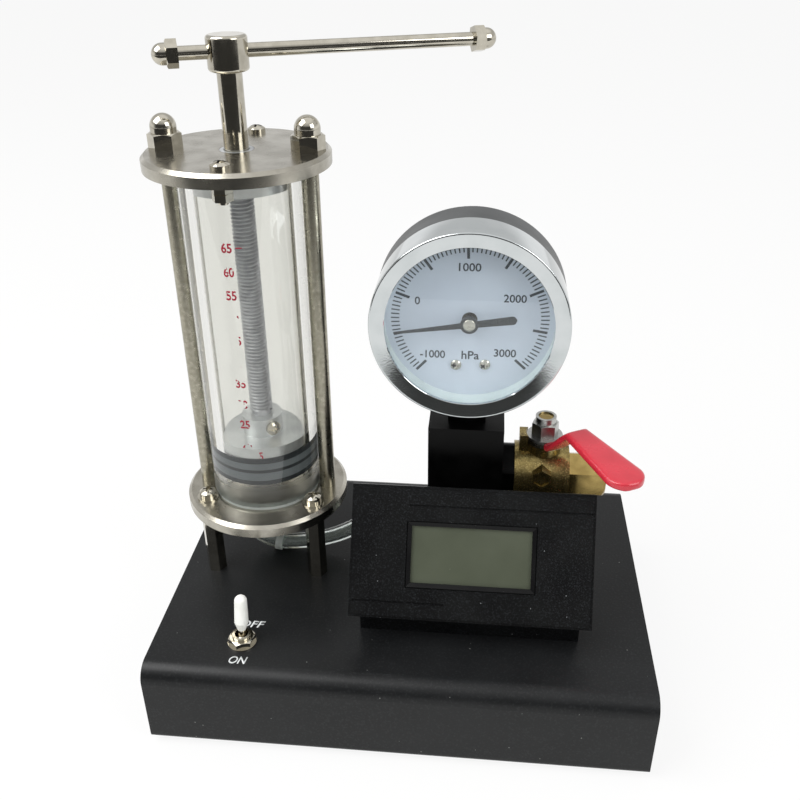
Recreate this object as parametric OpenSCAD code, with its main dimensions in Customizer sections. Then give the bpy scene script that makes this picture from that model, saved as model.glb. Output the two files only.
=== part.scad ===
// Gas law apparatus: a graduated acrylic cylinder with a screw driven piston, joined by a
// soft hose to a manifold block that carries a dial gauge and a small ball valve, with a
// panel thermometer and a toggle switch, all on a folded sheet metal base.
// Frame: origin at the middle of the footprint on the table, +X right, +Y back, +Z up.

/* [Base] */
// Width of the base from left to right
base_w = 165; // [160:1:200]
// Depth of the base from front to back
base_d = 117; // [114:1:140]
// Height of the sheet metal cover
base_h = 30.8; // [27:0.1:45]
// Thickness of the cover sheet
sheet_t = 1.2; // [0.8:0.1:1.6]
// Thickness of the tray sheet
tray_t = 1.2; // [0.8:0.1:2]
// Outer radius of the bends along the front and back edges
bend_r = 6; // [3:0.5:8]
// Radius of the bends into the bottom flanges
flange_r = 2.2; // [1.8:0.1:4]
// Width of the flanges turned in under the cover
flange_w = 16; // [14:0.5:22]
// Diameter of each rubber foot
foot_d = 11; // [8:0.5:13]
// Height of each rubber foot
foot_h = 2; // [1.8:0.1:5]
// Distance of the feet from the ends of the base
foot_inset = 12; // [9:1:20]
// Distance of the tray screws from the ends of the base
tray_screw_inset = 32; // [28:1:45]

/* [Cylinder stand] */
// Distance of the cylinder axis to the left of the base centre
cylinder_left = 52.3; // [48:0.1:53]
// Distance of the cylinder and manifold row behind the base centre
row_y = 7.5; // [2:0.5:12]
// Height of the standoffs between the base and the lower plate
standoff_h = 26.8; // [24:0.1:40]
// Width across the flats of the standoffs
standoff_af = 6; // [5:0.1:7]
// Side offset of the two front standoffs
standoff_x = 18.8; // [17:0.1:20]
// Forward offset of the two front standoffs
standoff_front = 12.3; // [11:0.1:14]
// Backward offset of the rear standoff
standoff_back = 22.4; // [21.9:0.1:23.2]
// Diameter of both end plates
plate_d = 57; // [56.5:0.5:64]
// Thickness of both end plates
plate_t = 4.3; // [3:0.1:7]
// Chamfer round the top edge of both end plates
plate_chamfer = 1.1; // [0.3:0.1:1.3]
// Diameter of the tie rods
rod_d = 5.5; // [5.2:0.1:6]
// Width across the flats of the acorn nuts
acorn_af = 9; // [8.5:0.1:10]
// Height of the acorn nuts
acorn_h = 10.3; // [9:0.1:13]

/* [Cylinder] */
// Outer diameter of the acrylic tube
tube_od = 38; // [36:0.1:38.4]
// Bore of the acrylic tube
tube_id = 29; // [28.6:0.1:32]
// Clear distance between the end plates
plate_gap = 115.5; // [110:0.5:140]
// Thickness of the gasket under the tube
gasket_t = 1; // [0.5:0.1:2]
// Height of the nut disc that fits the top of the tube
nut_disc_h = 6.4; // [4:0.1:9]
// Diameter of the nut neck that passes through the upper plate
nut_neck_d = 10.3; // [9.8:0.1:14]

/* [Piston] */
// Height of the piston above the lower plate, as photographed
piston_lift = 8.5; // [5:0.1:12]
// Height of the grey piston body
piston_h = 10.9; // [10.4:0.1:14]
// Height of the bottom lip under the lowest ring
lip_h = 0.45; // [0.3:0.05:0.8]
// Height of the lowest ring
low_ring_h = 1.65; // [1:0.05:2]
// Height of the middle ring
mid_ring_h = 1.2; // [0.8:0.05:1.6]
// Height of the top ring
top_ring_h = 2; // [1.2:0.05:2.4]
// Depth of the ring grooves
groove_deep = 2; // [1.2:0.1:3]
// Thickness of the aluminium disc on the piston
disc_h = 3.8; // [3:0.1:5]
// Diameter of the spindle collar
collar_d = 13.8; // [12:0.1:16]
// Height of the spindle collar
collar_h = 6.7; // [5.9:0.1:9]
// Direction of the collar screw, seen from above
collar_screw_turn = -48; // [-80:1:0]

/* [Spindle] */
// Outside diameter of the spindle thread
thread_d = 7.7; // [7.5:0.1:8]
// Diameter of the plain shaft above the thread
shaft_d = 7.4; // [6:0.1:7.4]
// Diameter of the neck held in the collar
neck_d = 6.6; // [6:0.1:7]
// Height of the cross head
head_h = 10; // [8.5:0.1:14]
// Diameter of the cross head
head_d = 12; // [10:0.1:16]
// Height of the head above the upper plate, as photographed
head_lift = 22.3; // [19:0.1:30]
// Diameter of the tommy bar
bar_d = 4; // [3:0.1:4.6]
// Length of the tommy bar between its nuts
bar_l = 87.9; // [70:0.5:120]
// Short end of the bar from the spindle axis to its nut, as photographed
bar_short = 13.9; // [10:0.1:30]
// Turn of the bar from the left to right line, seen from above
bar_turn = 20.9; // [0:0.1:45]
// Width across the flats of the nuts on the bar
bar_nut_af = 7; // [6:0.1:9]
// Height of the nuts on the bar
bar_nut_h = 7.3; // [6.5:0.1:9]

/* [Hose] */
// Outer diameter of the hose
hose_d = 6; // [5:0.1:6]
// Offset of the outlet barb from the cylinder axis, to the left
outlet_left = 9.6; // [9.4:0.1:9.8]
// Width across the flats of both barb hexagons
barb_af = 8; // [7:0.1:9]
// Length of each barb hexagon
barb_hex_l = 3; // [2:0.1:3.4]

/* [Manifold] */
// Distance of the manifold axis to the right of the base centre
block_right = 19.2; // [18:0.1:22]
// Side of the square manifold block
block_w = 25; // [24:0.1:26]
// Height of the manifold block
block_h = 63.5; // [60:0.1:75]
// Height of the valve port above the base
valve_port_h = 40.3; // [38:0.1:42]
// Height of the hose port above the base
hose_port_h = 26; // [25.6:0.1:26.4]

/* [Gauge] */
// Outside diameter of the gauge
gauge_d = 61; // [58:0.5:63]
// Depth of the gauge from its front to its back
gauge_depth = 26.7; // [26:0.1:32]
// Depth of the chromed bezel
bezel_depth = 13.9; // [12:0.1:13.9]
// Width of the bezel's lip in front of the lens
rim_w = 4.8; // [4:0.1:6]
// Height of the gauge axis above the base
gauge_axis_h = 103; // [101:0.1:108]
// Side of the square gauge stem
stem_w = 12.5; // [11:0.1:12.9]
// Depth of the dial face behind the front of the bezel
dial_recess = 8.8; // [8.4:0.1:9.6]
// Roll of the dial in its case, counter-clockwise
dial_roll = 2.5; // [0:0.5:4]
// Direction of the needle, counter-clockwise from the right
needle_angle = 188.5; // [150:0.5:225]

/* [Valve] */
// Length of the black nipple hexagon
nipple_l = 4.2; // [3.5:0.1:6]
// Width across the flats of the nipple hexagon
nipple_af = 19; // [18:0.1:21]
// Length of the brass valve body
valve_l = 18.5; // [18.2:0.1:21]
// Diameter of the brass valve body
valve_d = 20.6; // [20:0.1:23]
// Length of the hexagonal outlet end
outlet_l = 12.8; // [11:0.1:16]
// Width across the flats of the outlet end
outlet_af = 14; // [13:0.1:17]
// Bore drilled in the outlet for its pipe thread
outlet_bore = 8.8; // [8:0.1:9.8]
// Depth of the outlet bore
outlet_deep = 9; // [7:0.1:10]
// Diameter of the ball
ball_d = 13; // [12:0.1:13.4]
// Waterway through the ball and the valve
waterway_d = 7; // [5:0.1:7.4]
// Diameter of the stem
valve_stem_d = 5; // [4.5:0.1:5.6]
// Diameter of the bonnet round the stem
bonnet_d = 11; // [9.6:0.1:13]
// Radius of the lever at its tip
lever_reach = 50.5; // [42:0.5:56]
// Width of the lever near its tip
lever_w = 12.4; // [10:0.1:15]
// Width of the lever at its bend
lever_bend_w = 8; // [7:0.1:9]
// Thickness of the lever with its vinyl sleeve
lever_t = 3; // [2:0.1:3.6]
// Height that the lever rises to clear the outlet
lever_rise = 11.1; // [8:0.1:14]
// Direction of the lever, counter-clockwise from the pipe
lever_turn = -62; // [-90:1:0]

/* [Thermometer] */
// Width of the thermometer bezel
meter_w = 79; // [76:0.5:84]
// Height of the thermometer bezel along its slope
meter_h = 43.5; // [42:0.5:46]
// Thickness of the bezel
meter_t = 3; // [2.5:0.1:4]
// Lean of the bezel from upright
meter_lean = 30; // [25:1:32]
// Left edge of the bezel from the base centre, to the left
meter_left = 17; // [14:0.5:18]
// Distance of the bezel's lower front edge before the base centre
meter_front = 39.3; // [39:0.1:42]
// Height of the bezel's lower front edge above the base
meter_lift = 11.1; // [10:0.1:14]
// Width of the display window
lcd_w = 39.1; // [34:0.1:42]
// Height of the display window
lcd_h = 18.7; // [16:0.1:20]
// Left edge of the display window from the bezel's left edge
lcd_left = 19.9; // [18:0.1:22]
// Lower edge of the display window from the bezel's lower edge
lcd_low = 12; // [11:0.1:13]
// Wall thickness of the thermometer housing
housing_wall = 1.6; // [1.2:0.1:2.4]
// Inset of the housing behind the ends of the bezel
housing_inset = 3.1; // [2:0.1:6]

/* [Switch] */
// Distance of the switch before the base centre
switch_front = 42.5; // [40:0.5:45]
// Diameter of the threaded bushing
bushing_d = 6; // [5.8:0.1:6.4]
// Height of the bushing above the base
bushing_h = 3.7; // [3.4:0.1:5]
// Width across the flats of the switch nut
switch_nut_af = 8; // [7.5:0.1:10]
// Lean of the lever to each side
toggle_lean = 12.5; // [9:0.5:13]
// Largest diameter of the lever cap
cap_d = 4.7; // [4:0.1:5.4]
// Length of the lever cap
cap_l = 12.6; // [10:0.1:15]

/* [Hidden] */

$fn = 64;
cut = 1;            // overshoot of every cutting shape
fit = 0.05;         // radial running clearance of shafts and pistons
slip = 0.1;         // radial clearance of screws and other fixed pins
air = 0.3;          // gap between parts that move past each other

base_top = foot_h + base_h;
under_top = base_top - sheet_t;
tray_top = foot_h + sheet_t + tray_t;

// Machine screws: shank, pan head and nut sizes of M3 and M4
m3_d = 3;
m3_head_d = 5.6;
m3_head_h = 2.3;
m3_nut_af = 5.5;
m3_nut_h = 2.4;
m4_d = 4;
m4_head_d = 8;
m4_head_h = 2.8;
low_head_h = 1.6;
stub_d = 5;

// Holder and cell for the switched supply of the thermometer
cell_d = 14.2;
cell_l = 49;
cell_nub_l = 1.5;
cell_nub_d = 5.2;
holder_x = 30;
holder_y = -30;
holder_wall = 1.6;
holder_in_l = cell_l + cell_nub_l + 3;
holder_h = 12.5;

// Reach of the screws into the standoffs, the housing's bosses and the block
post_screw_l = 6;
boss_screw_l = 5;
block_screw_l = 8;

// Cylinder stand
cyl_x = -cylinder_left;
lower_z = base_top + standoff_h;
floor_z = lower_z + plate_t;
upper_z = floor_z + plate_gap;
roof_z = upper_z + plate_t;
rod_x = tube_od / 2 + rod_d / 2 + slip;
plate_screw_y = tube_od / 2 + m3_nut_af / 2 + 0.25;
plate_screw_x = 0.9;
stand_posts = [[-standoff_x, -standoff_front], [standoff_x, -standoff_front], [0, standoff_back]];
washer_d = 7.6;
washer_t = 0.6;
spring_washer_d = 5.8;
spring_washer_t = 0.8;
nut_disc_r = tube_id / 2 - slip;

// Piston, from the bottom up
piston_z = floor_z + piston_lift;
disc_z = piston_z + piston_h;
collar_z = disc_z + disc_h;
ring_r = tube_id / 2 - fit;
piston_r = tube_id / 2 - 0.35;
mid_ring_z = piston_z + 5.2;
top_ring_z = disc_z - top_ring_h;
ring_stack = [[piston_z + lip_h, low_ring_h], [mid_ring_z, mid_ring_h], [top_ring_z, top_ring_h]];
collar_screw_z = collar_z + collar_h / 2;
screw_groove_d = 4.6;

// Spindle and bar
thread_z = collar_z + collar_h + 0.2;
head_z = roof_z + head_lift;
neck_z = disc_z + 1;
shaft_z = upper_z + 2.4;
bar_z = head_z + 0.54 * head_h;
tenon_d = 5;
tenon_l = bar_z - bar_d / 2 - 0.4 - head_z;

// Manifold and gauge
block_x = block_right;
block_top = base_top + block_h;
valve_z = base_top + valve_port_h;
hose_port_z = base_top + hose_port_h;
gauge_z = base_top + gauge_axis_h;
gauge_back = row_y + stem_w / 2;
gauge_front = gauge_back - gauge_depth;
case_r = gauge_d / 2 - 0.1;
case_wall = 1.4;
spigot_r = gauge_d / 2 - 1.5;
window_r = gauge_d / 2 - rim_w;
lip_t = 1.5;
lens_t = 1.6;
dial_t = 0.6;
// Heights inside the gauge, forward from its back
shoulder_g = gauge_depth - bezel_depth;
dial_front_g = gauge_depth - dial_recess;
lens_front_g = gauge_depth - lip_t;
lens_back_g = lens_front_g - lens_t;
dial_screw_x = 4.55;
dial_screw_y = -0.51 * case_r;
dial_screw_d = 1.8;
dial_screw_l = 2.6;    // reach behind the dial
dial_screw_head_d = 3.4;
needle_z = 4;       // height of the needle blade above the dial
needle_t = 0.4;
needle_shaft_d = 1.6;
curve_r = case_r - 10.4;   // middle of the curved pressure tube
gauge_port_d = 9.7;
bore_d = 5;
neck_port_d = 9;

// Valve, to the right of the block
nipple_x = block_x + block_w / 2;
body_x = nipple_x + nipple_l;
end_x = body_x + valve_l;
outlet_x = end_x + outlet_l;
stem_x = body_x + 9.9;
port_thread_d = 13;
port_thread_l = 8;
bonnet_top = valve_z + 12.7;
lever_z = bonnet_top + air;
hub_t = 1.6;        // bare steel of the lever under its nut
hub_r = 6;
nut_z = lever_z + hub_t;
nut_flange_d = 12.1;
nut_flange_t = 1;
nut_hex_h = 4.8;
nut_collar_d = 7;
nut_collar_h = 2.3;
nut_h = nut_flange_t + nut_hex_h + nut_collar_h;
cavity_r = ball_d / 2 + air;
ball_flat = ball_d / 2 - 0.8;
// Reach of the nipple into the body: clear of the ball at the edge of the waterway
seat_l = stem_x - body_x - sqrt(pow(ball_d / 2, 2) - pow(waterway_d / 2, 2)) - 2 * air;

// Thermometer: the slope frame has its origin at the bezel's lower left front corner
meter_x = -meter_left;
meter_y = -meter_front;
meter_z = base_top + meter_lift;
pocket_margin = 1.6;
housing_foot_y = meter_y + 6.7;
housing_back_y = row_y - block_w / 2 - 3;
housing_top_v = meter_h - 3;

// Switch
switch_x = cyl_x;
switch_y = -switch_front;
washer_stack = 0.5;
switch_nut_h = 2.2;
pivot_z = base_top + 0.6;
ball_r = 2.15;
pivot_pin_d = 1.2;  // pin through the lever's ball, along X
pivot_pin_l = 5.4;
lever_shank_d = 2.4;
cap_start = 4.2;

// Route of the hose centre in the plane of the row: [x, height above the base]
hose_points = [[-61.9, 20.8], [-61.9, 18], [-61.6, 15], [-60.5, 11.6], [-58.6, 8.6],
    [-56.1, 6.2], [-53.2, 4.6], [-49.9, 3.7], [-46.4, 3.6], [-42.4, 4], [-37.6, 4.9],
    [-32.8, 6.2], [-28, 8], [-23.2, 10.6], [-18.6, 13.8], [-14.4, 17.4], [-10.4, 21],
    [-6.6, 23.9], [-3, 25.6], [-0.9, 26], [0.7, 26]];
hose_sides = 10;
barb_d = 4.2;
barb_top = lower_z - barb_hex_l;
hose_start_z = base_top + hose_points[0][1];
hose_end_x = hose_points[len(hose_points) - 1][0];

// ---- Shared shapes ----

// Screw with its head above z = 0 and its shank below
module pan_screw(d, l, head_d, head_h) {
    crown = head_h * 0.45;
    translate([0, 0, -l]) cylinder(d = d, h = l + head_h / 2);
    difference() {
        rotate_extrude() intersection() {
            square([head_d / 2, head_h]);
            translate([0, head_h - crown - head_d * 0.55])
                circle(r = head_d * 0.55 + crown);
        }
        translate([0, 0, head_h * 0.55]) cross_recess(head_d * 0.62, head_h);
    }
}

// Cross shaped driver recess, from z = 0 up
module cross_recess(span, deep) {
    blade = span * 0.2;
    for (a = [0, 90]) rotate([0, 0, a]) translate([-span / 2, -blade / 2, 0]) cube([span, blade, deep]);
}

// Hexagon prism whose flats face along Y
module hex_prism(af, h) {
    cylinder(d = af / cos(30), h = h, $fn = 6);
}

// Hexagon prism with turned off corners at its top
module hex_nut_blank(af, h) {
    corner = af / cos(30) / 2;
    drop = (corner - af / 2) * 0.7;
    intersection() {
        hex_prism(af, h);
        rotate_extrude() polygon([[0, 0], [corner + cut, 0], [corner + cut, h - drop - cut * 0.6],
            [af / 2 - 0.1, h], [0, h]]);
    }
}

module plain_nut(af, h, bore) {
    difference() {
        hex_nut_blank(af, h);
        translate([0, 0, -cut]) cylinder(d = bore, h = h + 2 * cut);
    }
}

module acorn_nut(af, h, bore) {
    hex_h = h * 0.46;
    dome_r = af * 0.44;
    difference() {
        union() {
            hex_nut_blank(af, hex_h);
            translate([0, 0, hex_h - 0.2]) cylinder(r = dome_r, h = h - hex_h - dome_r + 0.2);
            translate([0, 0, h - dome_r]) sphere(r = dome_r);
        }
        translate([0, 0, -cut]) cylinder(d = bore, h = h * 0.74 + cut);
    }
}

module washer(d, bore, t) {
    difference() {
        cylinder(d = d, h = t);
        translate([0, 0, -cut]) cylinder(d = bore, h = t + 2 * cut);
    }
}

// ---- Base ----

// Section of the folded cover or of what fits inside it, with its foot on y = 0
module folded_section(w, h, r_top, r_low) {
    difference() {
        translate([-w / 2, 0]) square([w, h]);
        for (s = [-1, 1]) {
            difference() {
                translate([s * w / 2 - r_top, h - r_top]) square([2 * r_top, 2 * r_top]);
                translate([s * (w / 2 - r_top), h - r_top]) circle(r = r_top);
                translate([s * (w / 2 - 2 * r_top) - r_top, h - 2 * r_top]) square([2 * r_top, 4 * r_top]);
            }
            difference() {
                translate([s * w / 2 - r_low, -r_low]) square([2 * r_low, 2 * r_low]);
                translate([s * (w / 2 - r_low), r_low]) circle(r = r_low);
                translate([s * (w / 2 - 2 * r_low) - r_low, -r_low]) square([2 * r_low, 3 * r_low]);
            }
        }
    }
}

module along_width(l) {
    rotate([90, 0, 90]) translate([0, 0, -l / 2]) linear_extrude(l) children();
}

module tray_screw_places() {
    for (sx = [-1, 1], sy = [-1, 1])
        translate([sx * (base_w / 2 - tray_screw_inset), sy * (base_d / 2 - flange_w / 2), 0]) children();
}

module post_places() {
    for (p = stand_posts) translate([cyl_x + p[0], row_y + p[1], 0]) children();
}

module meter_screw_places() {
    for (x = [meter_x + 22, meter_x + meter_w - 22])
        translate([x, (housing_foot_y + housing_back_y) / 2, 0]) children();
}

module block_screw_places() {
    for (s = [-1, 1]) translate([block_x, row_y + s * block_w * 0.28, 0]) children();
}

module base_cover() color("#2c2d2e") {
    inner_w = base_d - 2 * sheet_t;
    inner_h = base_h - 2 * sheet_t;
    difference() {
        translate([0, 0, foot_h]) along_width(base_w) folded_section(base_d, base_h, bend_r, flange_r);
        translate([0, 0, foot_h + sheet_t]) along_width(base_w + 2 * cut)
            folded_section(inner_w, inner_h, bend_r - sheet_t, flange_r - sheet_t);
        translate([-base_w / 2 - cut, -base_d / 2 + flange_w, foot_h - cut])
            cube([base_w + 2 * cut, base_d - 2 * flange_w, sheet_t + 2 * cut]);
        tray_screw_places() cylinder(d = m3_d + 2 * slip, h = foot_h + sheet_t + cut);
        translate([0, 0, under_top - cut]) {
            post_places() cylinder(d = m3_d + 2 * slip, h = sheet_t + 2 * cut);
            meter_screw_places() cylinder(d = m3_d + 2 * slip, h = sheet_t + 2 * cut);
            block_screw_places() cylinder(d = m4_d + 2 * slip, h = sheet_t + 2 * cut);
            translate([switch_x, switch_y, 0]) cylinder(d = bushing_d + 2 * slip, h = sheet_t + 2 * cut);
        }
    }
}

module base_tray() color("#35373a") {
    play = 0.2;
    tray_w = base_d - 2 * sheet_t - 2 * play;
    wall_h = base_h - 2 * sheet_t - play;
    difference() {
        union() {
            translate([-base_w / 2 + 0.4, -tray_w / 2 + flange_r, foot_h + sheet_t])
                cube([base_w - 0.8, tray_w - 2 * flange_r, tray_t]);
            for (s = [-1, 1]) translate([s * (base_w / 2 - 0.4 - tray_t / 2), 0, foot_h + sheet_t])
                along_width(tray_t) folded_section(tray_w, wall_h, bend_r - sheet_t, flange_r - sheet_t);
        }
        tray_screw_places() cylinder(d = m3_d + 2 * slip, h = tray_top + cut);
    }
}

module tray_screws() color("#8f9090") {
    tray_screw_places() translate([0, 0, foot_h]) rotate([180, 0, 0])
        pan_screw(m3_d, sheet_t + tray_t + 3, m3_head_d, low_head_h);
}

module rubber_feet() color("#1b1b1b") {
    for (sx = [-1, 1], sy = [-1, 1])
        translate([sx * (base_w / 2 - foot_inset), sy * (base_d / 2 - flange_w / 2), 0])
            rotate_extrude() polygon([[0, 0], [foot_d / 2 - 0.6, 0], [foot_d / 2, foot_h], [0, foot_h]]);
}

module battery_holder() color("#202124") {
    in_w = cell_d + 2 * slip;
    translate([holder_x, holder_y, tray_top]) difference() {
        translate([-holder_in_l / 2 - holder_wall, -in_w / 2 - holder_wall, 0])
            cube([holder_in_l + 2 * holder_wall, in_w + 2 * holder_wall, holder_h]);
        translate([-holder_in_l / 2, -in_w / 2, holder_wall]) cube([holder_in_l, in_w, holder_h]);
    }
}

module battery_cell() color("#7f7f82") {
    translate([holder_x - holder_in_l / 2 + 0.1, holder_y, tray_top + holder_wall + cell_d / 2 + 0.02])
        rotate([0, 90, 0]) {
            cylinder(d = cell_d, h = cell_l);
            translate([0, 0, cell_l - 0.2]) cylinder(d = cell_nub_d, h = cell_nub_l + 0.2);
        }
}

module base_screws() color("#a2a29e") {
    translate([0, 0, under_top]) {
        post_places() rotate([180, 0, 0])
            pan_screw(m3_d, sheet_t + post_screw_l, m3_head_d, m3_head_h);
        meter_screw_places() rotate([180, 0, 0])
            pan_screw(m3_d, sheet_t + boss_screw_l, m3_head_d, m3_head_h);
    }
}

// ---- Switch ----

module switch_body() color("#3f5160") {
    body_l = 13.2;
    body_w = 7.9;
    body_h = 9.4;
    lug_pitch = 4.7;
    lug_w = 2;
    lug_t = 0.8;
    lug_l = 4.2;
    translate([switch_x, switch_y, 0]) difference() {
        union() {
            translate([-body_w / 2, -body_l / 2, under_top - body_h]) cube([body_w, body_l, body_h]);
            for (p = [-1, 0, 1])
                translate([-lug_w / 2, p * lug_pitch - lug_t / 2, under_top - body_h - lug_l])
                    cube([lug_w, lug_t, lug_l + 0.2]);
        }
        translate([0, 0, pivot_z]) sphere(r = ball_r + air);
    }
}

module switch_bushing() color("#b9b6ab") {
    well_r = ball_r + fit;
    translate([switch_x, switch_y, 0]) difference() {
        translate([0, 0, under_top]) cylinder(d = bushing_d, h = sheet_t + bushing_h);
        translate([0, 0, pivot_z]) sphere(r = well_r);
        translate([0, 0, pivot_z]) cylinder(r = well_r, h = bushing_h + cut);
        translate([0, 0, pivot_z]) rotate([0, 90, 0])
            cylinder(d = pivot_pin_d + 2 * fit, h = bushing_d + 2 * cut, center = true, $fn = 48);
    }
}

module switch_washers() color("#b9b6ab") {
    translate([switch_x, switch_y, base_top]) washer(switch_nut_af + 1.6, bushing_d + 2 * slip, washer_stack);
}

module switch_nut() color("#c4c1b6") {
    turn = 20;
    translate([switch_x, switch_y, base_top + washer_stack]) rotate([0, 0, turn])
        plain_nut(switch_nut_af, switch_nut_h, bushing_d + 2 * slip);
}

// Lean the lever back to its off position about the pivot
module toggle_frame() {
    translate([switch_x, switch_y, pivot_z]) rotate([-toggle_lean, 0, 0]) children();
}

module toggle_lever() color("#cfccc2") {
    toggle_frame() {
        sphere(r = ball_r);
        rotate([0, 90, 0]) cylinder(d = pivot_pin_d, h = pivot_pin_l, center = true, $fn = 48);
        cylinder(d = lever_shank_d, h = cap_start + cap_l * 0.6);
    }
}

module lever_cap() color("#f1f2ee") {
    tip_r = cap_d * 0.45;
    toggle_frame() difference() {
        translate([0, 0, cap_start]) rotate_extrude() {
            polygon([[0, 0], [cap_d * 0.29, 0], [cap_d / 2, cap_l * 0.22], [tip_r, cap_l - tip_r],
                [0, cap_l - tip_r]]);
            intersection() {
                translate([0, cap_l - tip_r]) circle(r = tip_r);
                translate([0, cap_l - tip_r - 0.1]) square([tip_r + cut, tip_r + cut]);
            }
        }
        translate([0, 0, cap_start - cut]) cylinder(d = lever_shank_d + 0.02, h = cap_l * 0.6 + cut);
    }
}

// ---- Cylinder stand ----

module at_cylinder(z) {
    translate([cyl_x, row_y, z]) children();
}

module rod_places() {
    for (s = [-1, 1]) translate([s * rod_x, 0, 0]) children();
}

module plate_screw_places() {
    for (s = [-1, 1]) translate([plate_screw_x, s * plate_screw_y, 0]) children();
}

module standoffs() color("#141414") {
    post_places() translate([0, 0, base_top]) difference() {
        hex_prism(standoff_af, standoff_h);
        translate([0, 0, -cut]) cylinder(d = m3_d + 2 * slip, h = standoff_h + 2 * cut);
    }
}

module standoff_washers() color("#c9c7be") {
    post_places() {
        translate([0, 0, floor_z]) washer(washer_d, m3_d + 2 * slip, washer_t);
        translate([0, 0, floor_z + washer_t]) washer(spring_washer_d, m3_d + 2 * slip, spring_washer_t);
    }
}

module standoff_screws() color("#cfcdc4") {
    post_places() translate([0, 0, floor_z + washer_t + spring_washer_t])
        pan_screw(m3_d, plate_t + washer_t + spring_washer_t + 8, m3_head_d, m3_head_h);
}

module plate_blank() {
    rotate_extrude() polygon([[0, 0], [plate_d / 2, 0], [plate_d / 2, plate_t - plate_chamfer],
        [plate_d / 2 - plate_chamfer, plate_t], [0, plate_t]]);
}

module lower_plate() color("#bdbbb2") {
    difference() {
        at_cylinder(lower_z) plate_blank();
        post_places() translate([0, 0, lower_z - cut]) cylinder(d = m3_d + 2 * slip, h = plate_t + 2 * cut);
        at_cylinder(lower_z - cut) rod_places() cylinder(d = m4_d + 2 * slip, h = plate_t + 2 * cut);
        at_cylinder(lower_z - cut) translate([-outlet_left, 0, 0])
            cylinder(d = stub_d + 2 * slip, h = plate_t + 2 * cut);
    }
}

module upper_plate() color("#bdbbb2") {
    at_cylinder(upper_z) difference() {
        plate_blank();
        translate([0, 0, -cut]) {
            cylinder(d = nut_neck_d + 2 * slip, h = plate_t + 2 * cut);
            rod_places() cylinder(d = stub_d + 2 * slip, h = plate_t + 2 * cut);
            plate_screw_places() cylinder(d = m3_d + 2 * slip, h = plate_t + 2 * cut);
        }
    }
}

module tie_rods() color("#c6c3b8") {
    at_cylinder(floor_z) rod_places() difference() {
        union() {
            cylinder(d = rod_d, h = plate_gap);
            cylinder(d = stub_d, h = plate_gap + plate_t + acorn_h * 0.7);
        }
        translate([0, 0, -cut]) cylinder(d = m4_d + 2 * slip, h = 10 + cut, $fn = 48);
    }
}

module tie_rod_nuts() color("#cfccc2") {
    turn = 12;
    at_cylinder(roof_z) rod_places() rotate([0, 0, turn]) acorn_nut(acorn_af, acorn_h, stub_d + 2 * slip);
}

module tie_rod_screws() color("#c6c3b8") {
    at_cylinder(lower_z) rod_places() {
        rotate([180, 0, 0]) washer(spring_washer_d + 1.6, m4_d + 2 * slip, spring_washer_t);
        translate([0, 0, -spring_washer_t]) rotate([180, 0, 0])
            pan_screw(m4_d, plate_t + spring_washer_t + 8, m4_head_d, m4_head_h);
    }
}

module cylinder_tube() color("#e8eef0", 0.35) {
    at_cylinder(floor_z + gasket_t) difference() {
        cylinder(d = tube_od, h = plate_gap - gasket_t, $fn = 96);
        translate([0, 0, -cut]) cylinder(d = tube_id, h = plate_gap - gasket_t + 2 * cut, $fn = 96);
    }
}

module tube_gasket() color("#9aa0a0") {
    at_cylinder(floor_z) difference() {
        cylinder(d = tube_od - 1, h = gasket_t, $fn = 96);
        translate([0, 0, -cut]) cylinder(d = tube_id, h = gasket_t + 2 * cut, $fn = 96);
    }
}

module spindle_nut() color("#a9a79d") {
    at_cylinder(upper_z) difference() {
        union() {
            translate([0, 0, -nut_disc_h]) cylinder(r = nut_disc_r, h = nut_disc_h);
            cylinder(d = nut_neck_d, h = plate_t);
        }
        translate([0, 0, -nut_disc_h - cut])
            cylinder(d = thread_d + 2 * fit, h = nut_disc_h + plate_t + 2 * cut);
    }
}

module plate_screws() color("#cfcdc4") {
    at_cylinder(roof_z) plate_screw_places()
        pan_screw(m3_d, plate_t + 2 * m3_nut_h + 1, m3_head_d, m3_head_h);
}

module plate_nuts() color("#c6c3b8") {
    at_cylinder(upper_z) plate_screw_places() for (k = [1, 2])
        translate([0, 0, -k * m3_nut_h]) plain_nut(m3_nut_af, m3_nut_h, m3_d + 2 * slip);
}

// ---- Piston and spindle ----

module piston_body() color("#6d7376") {
    difference() {
        at_cylinder(piston_z) union() {
            cylinder(r = piston_r - 1.6, h = lip_h);
            translate([0, 0, lip_h]) cylinder(r = piston_r, h = piston_h - lip_h);
        }
        for (g = ring_stack) at_cylinder(g[0]) difference() {
            cylinder(r = tube_id / 2, h = g[1]);
            translate([0, 0, -cut]) cylinder(r = ring_r - groove_deep, h = g[1] + 2 * cut);
        }
    }
}

module piston_rings() color("#15171a") {
    for (g = ring_stack) at_cylinder(g[0]) difference() {
        cylinder(r = ring_r, h = g[1]);
        translate([0, 0, -cut]) cylinder(r = ring_r - groove_deep, h = g[1] + 2 * cut);
    }
}

module piston_disc() color("#b4b6b6") {
    at_cylinder(disc_z) difference() {
        cylinder(r = piston_r, h = disc_h);
        translate([0, 0, neck_z - disc_z - fit]) cylinder(d = neck_d + 2 * fit, h = disc_h + cut);
    }
}

module piston_collar() color("#c0c1bd") {
    at_cylinder(collar_z) difference() {
        cylinder(d = collar_d, h = collar_h);
        translate([0, 0, -cut]) cylinder(d = neck_d + 2 * fit, h = collar_h + 2 * cut);
        translate([0, 0, collar_screw_z - collar_z]) rotate([0, 90, collar_screw_turn])
            cylinder(d = m3_d + 2 * slip, h = collar_d);
    }
}

module collar_screw() color("#cfcdc4") {
    reach = (collar_d - screw_groove_d) / 2 - air;
    at_cylinder(collar_screw_z) rotate([0, 90, collar_screw_turn])
        translate([0, 0, collar_d / 2]) pan_screw(m3_d, reach, 5, 2);
}

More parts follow.
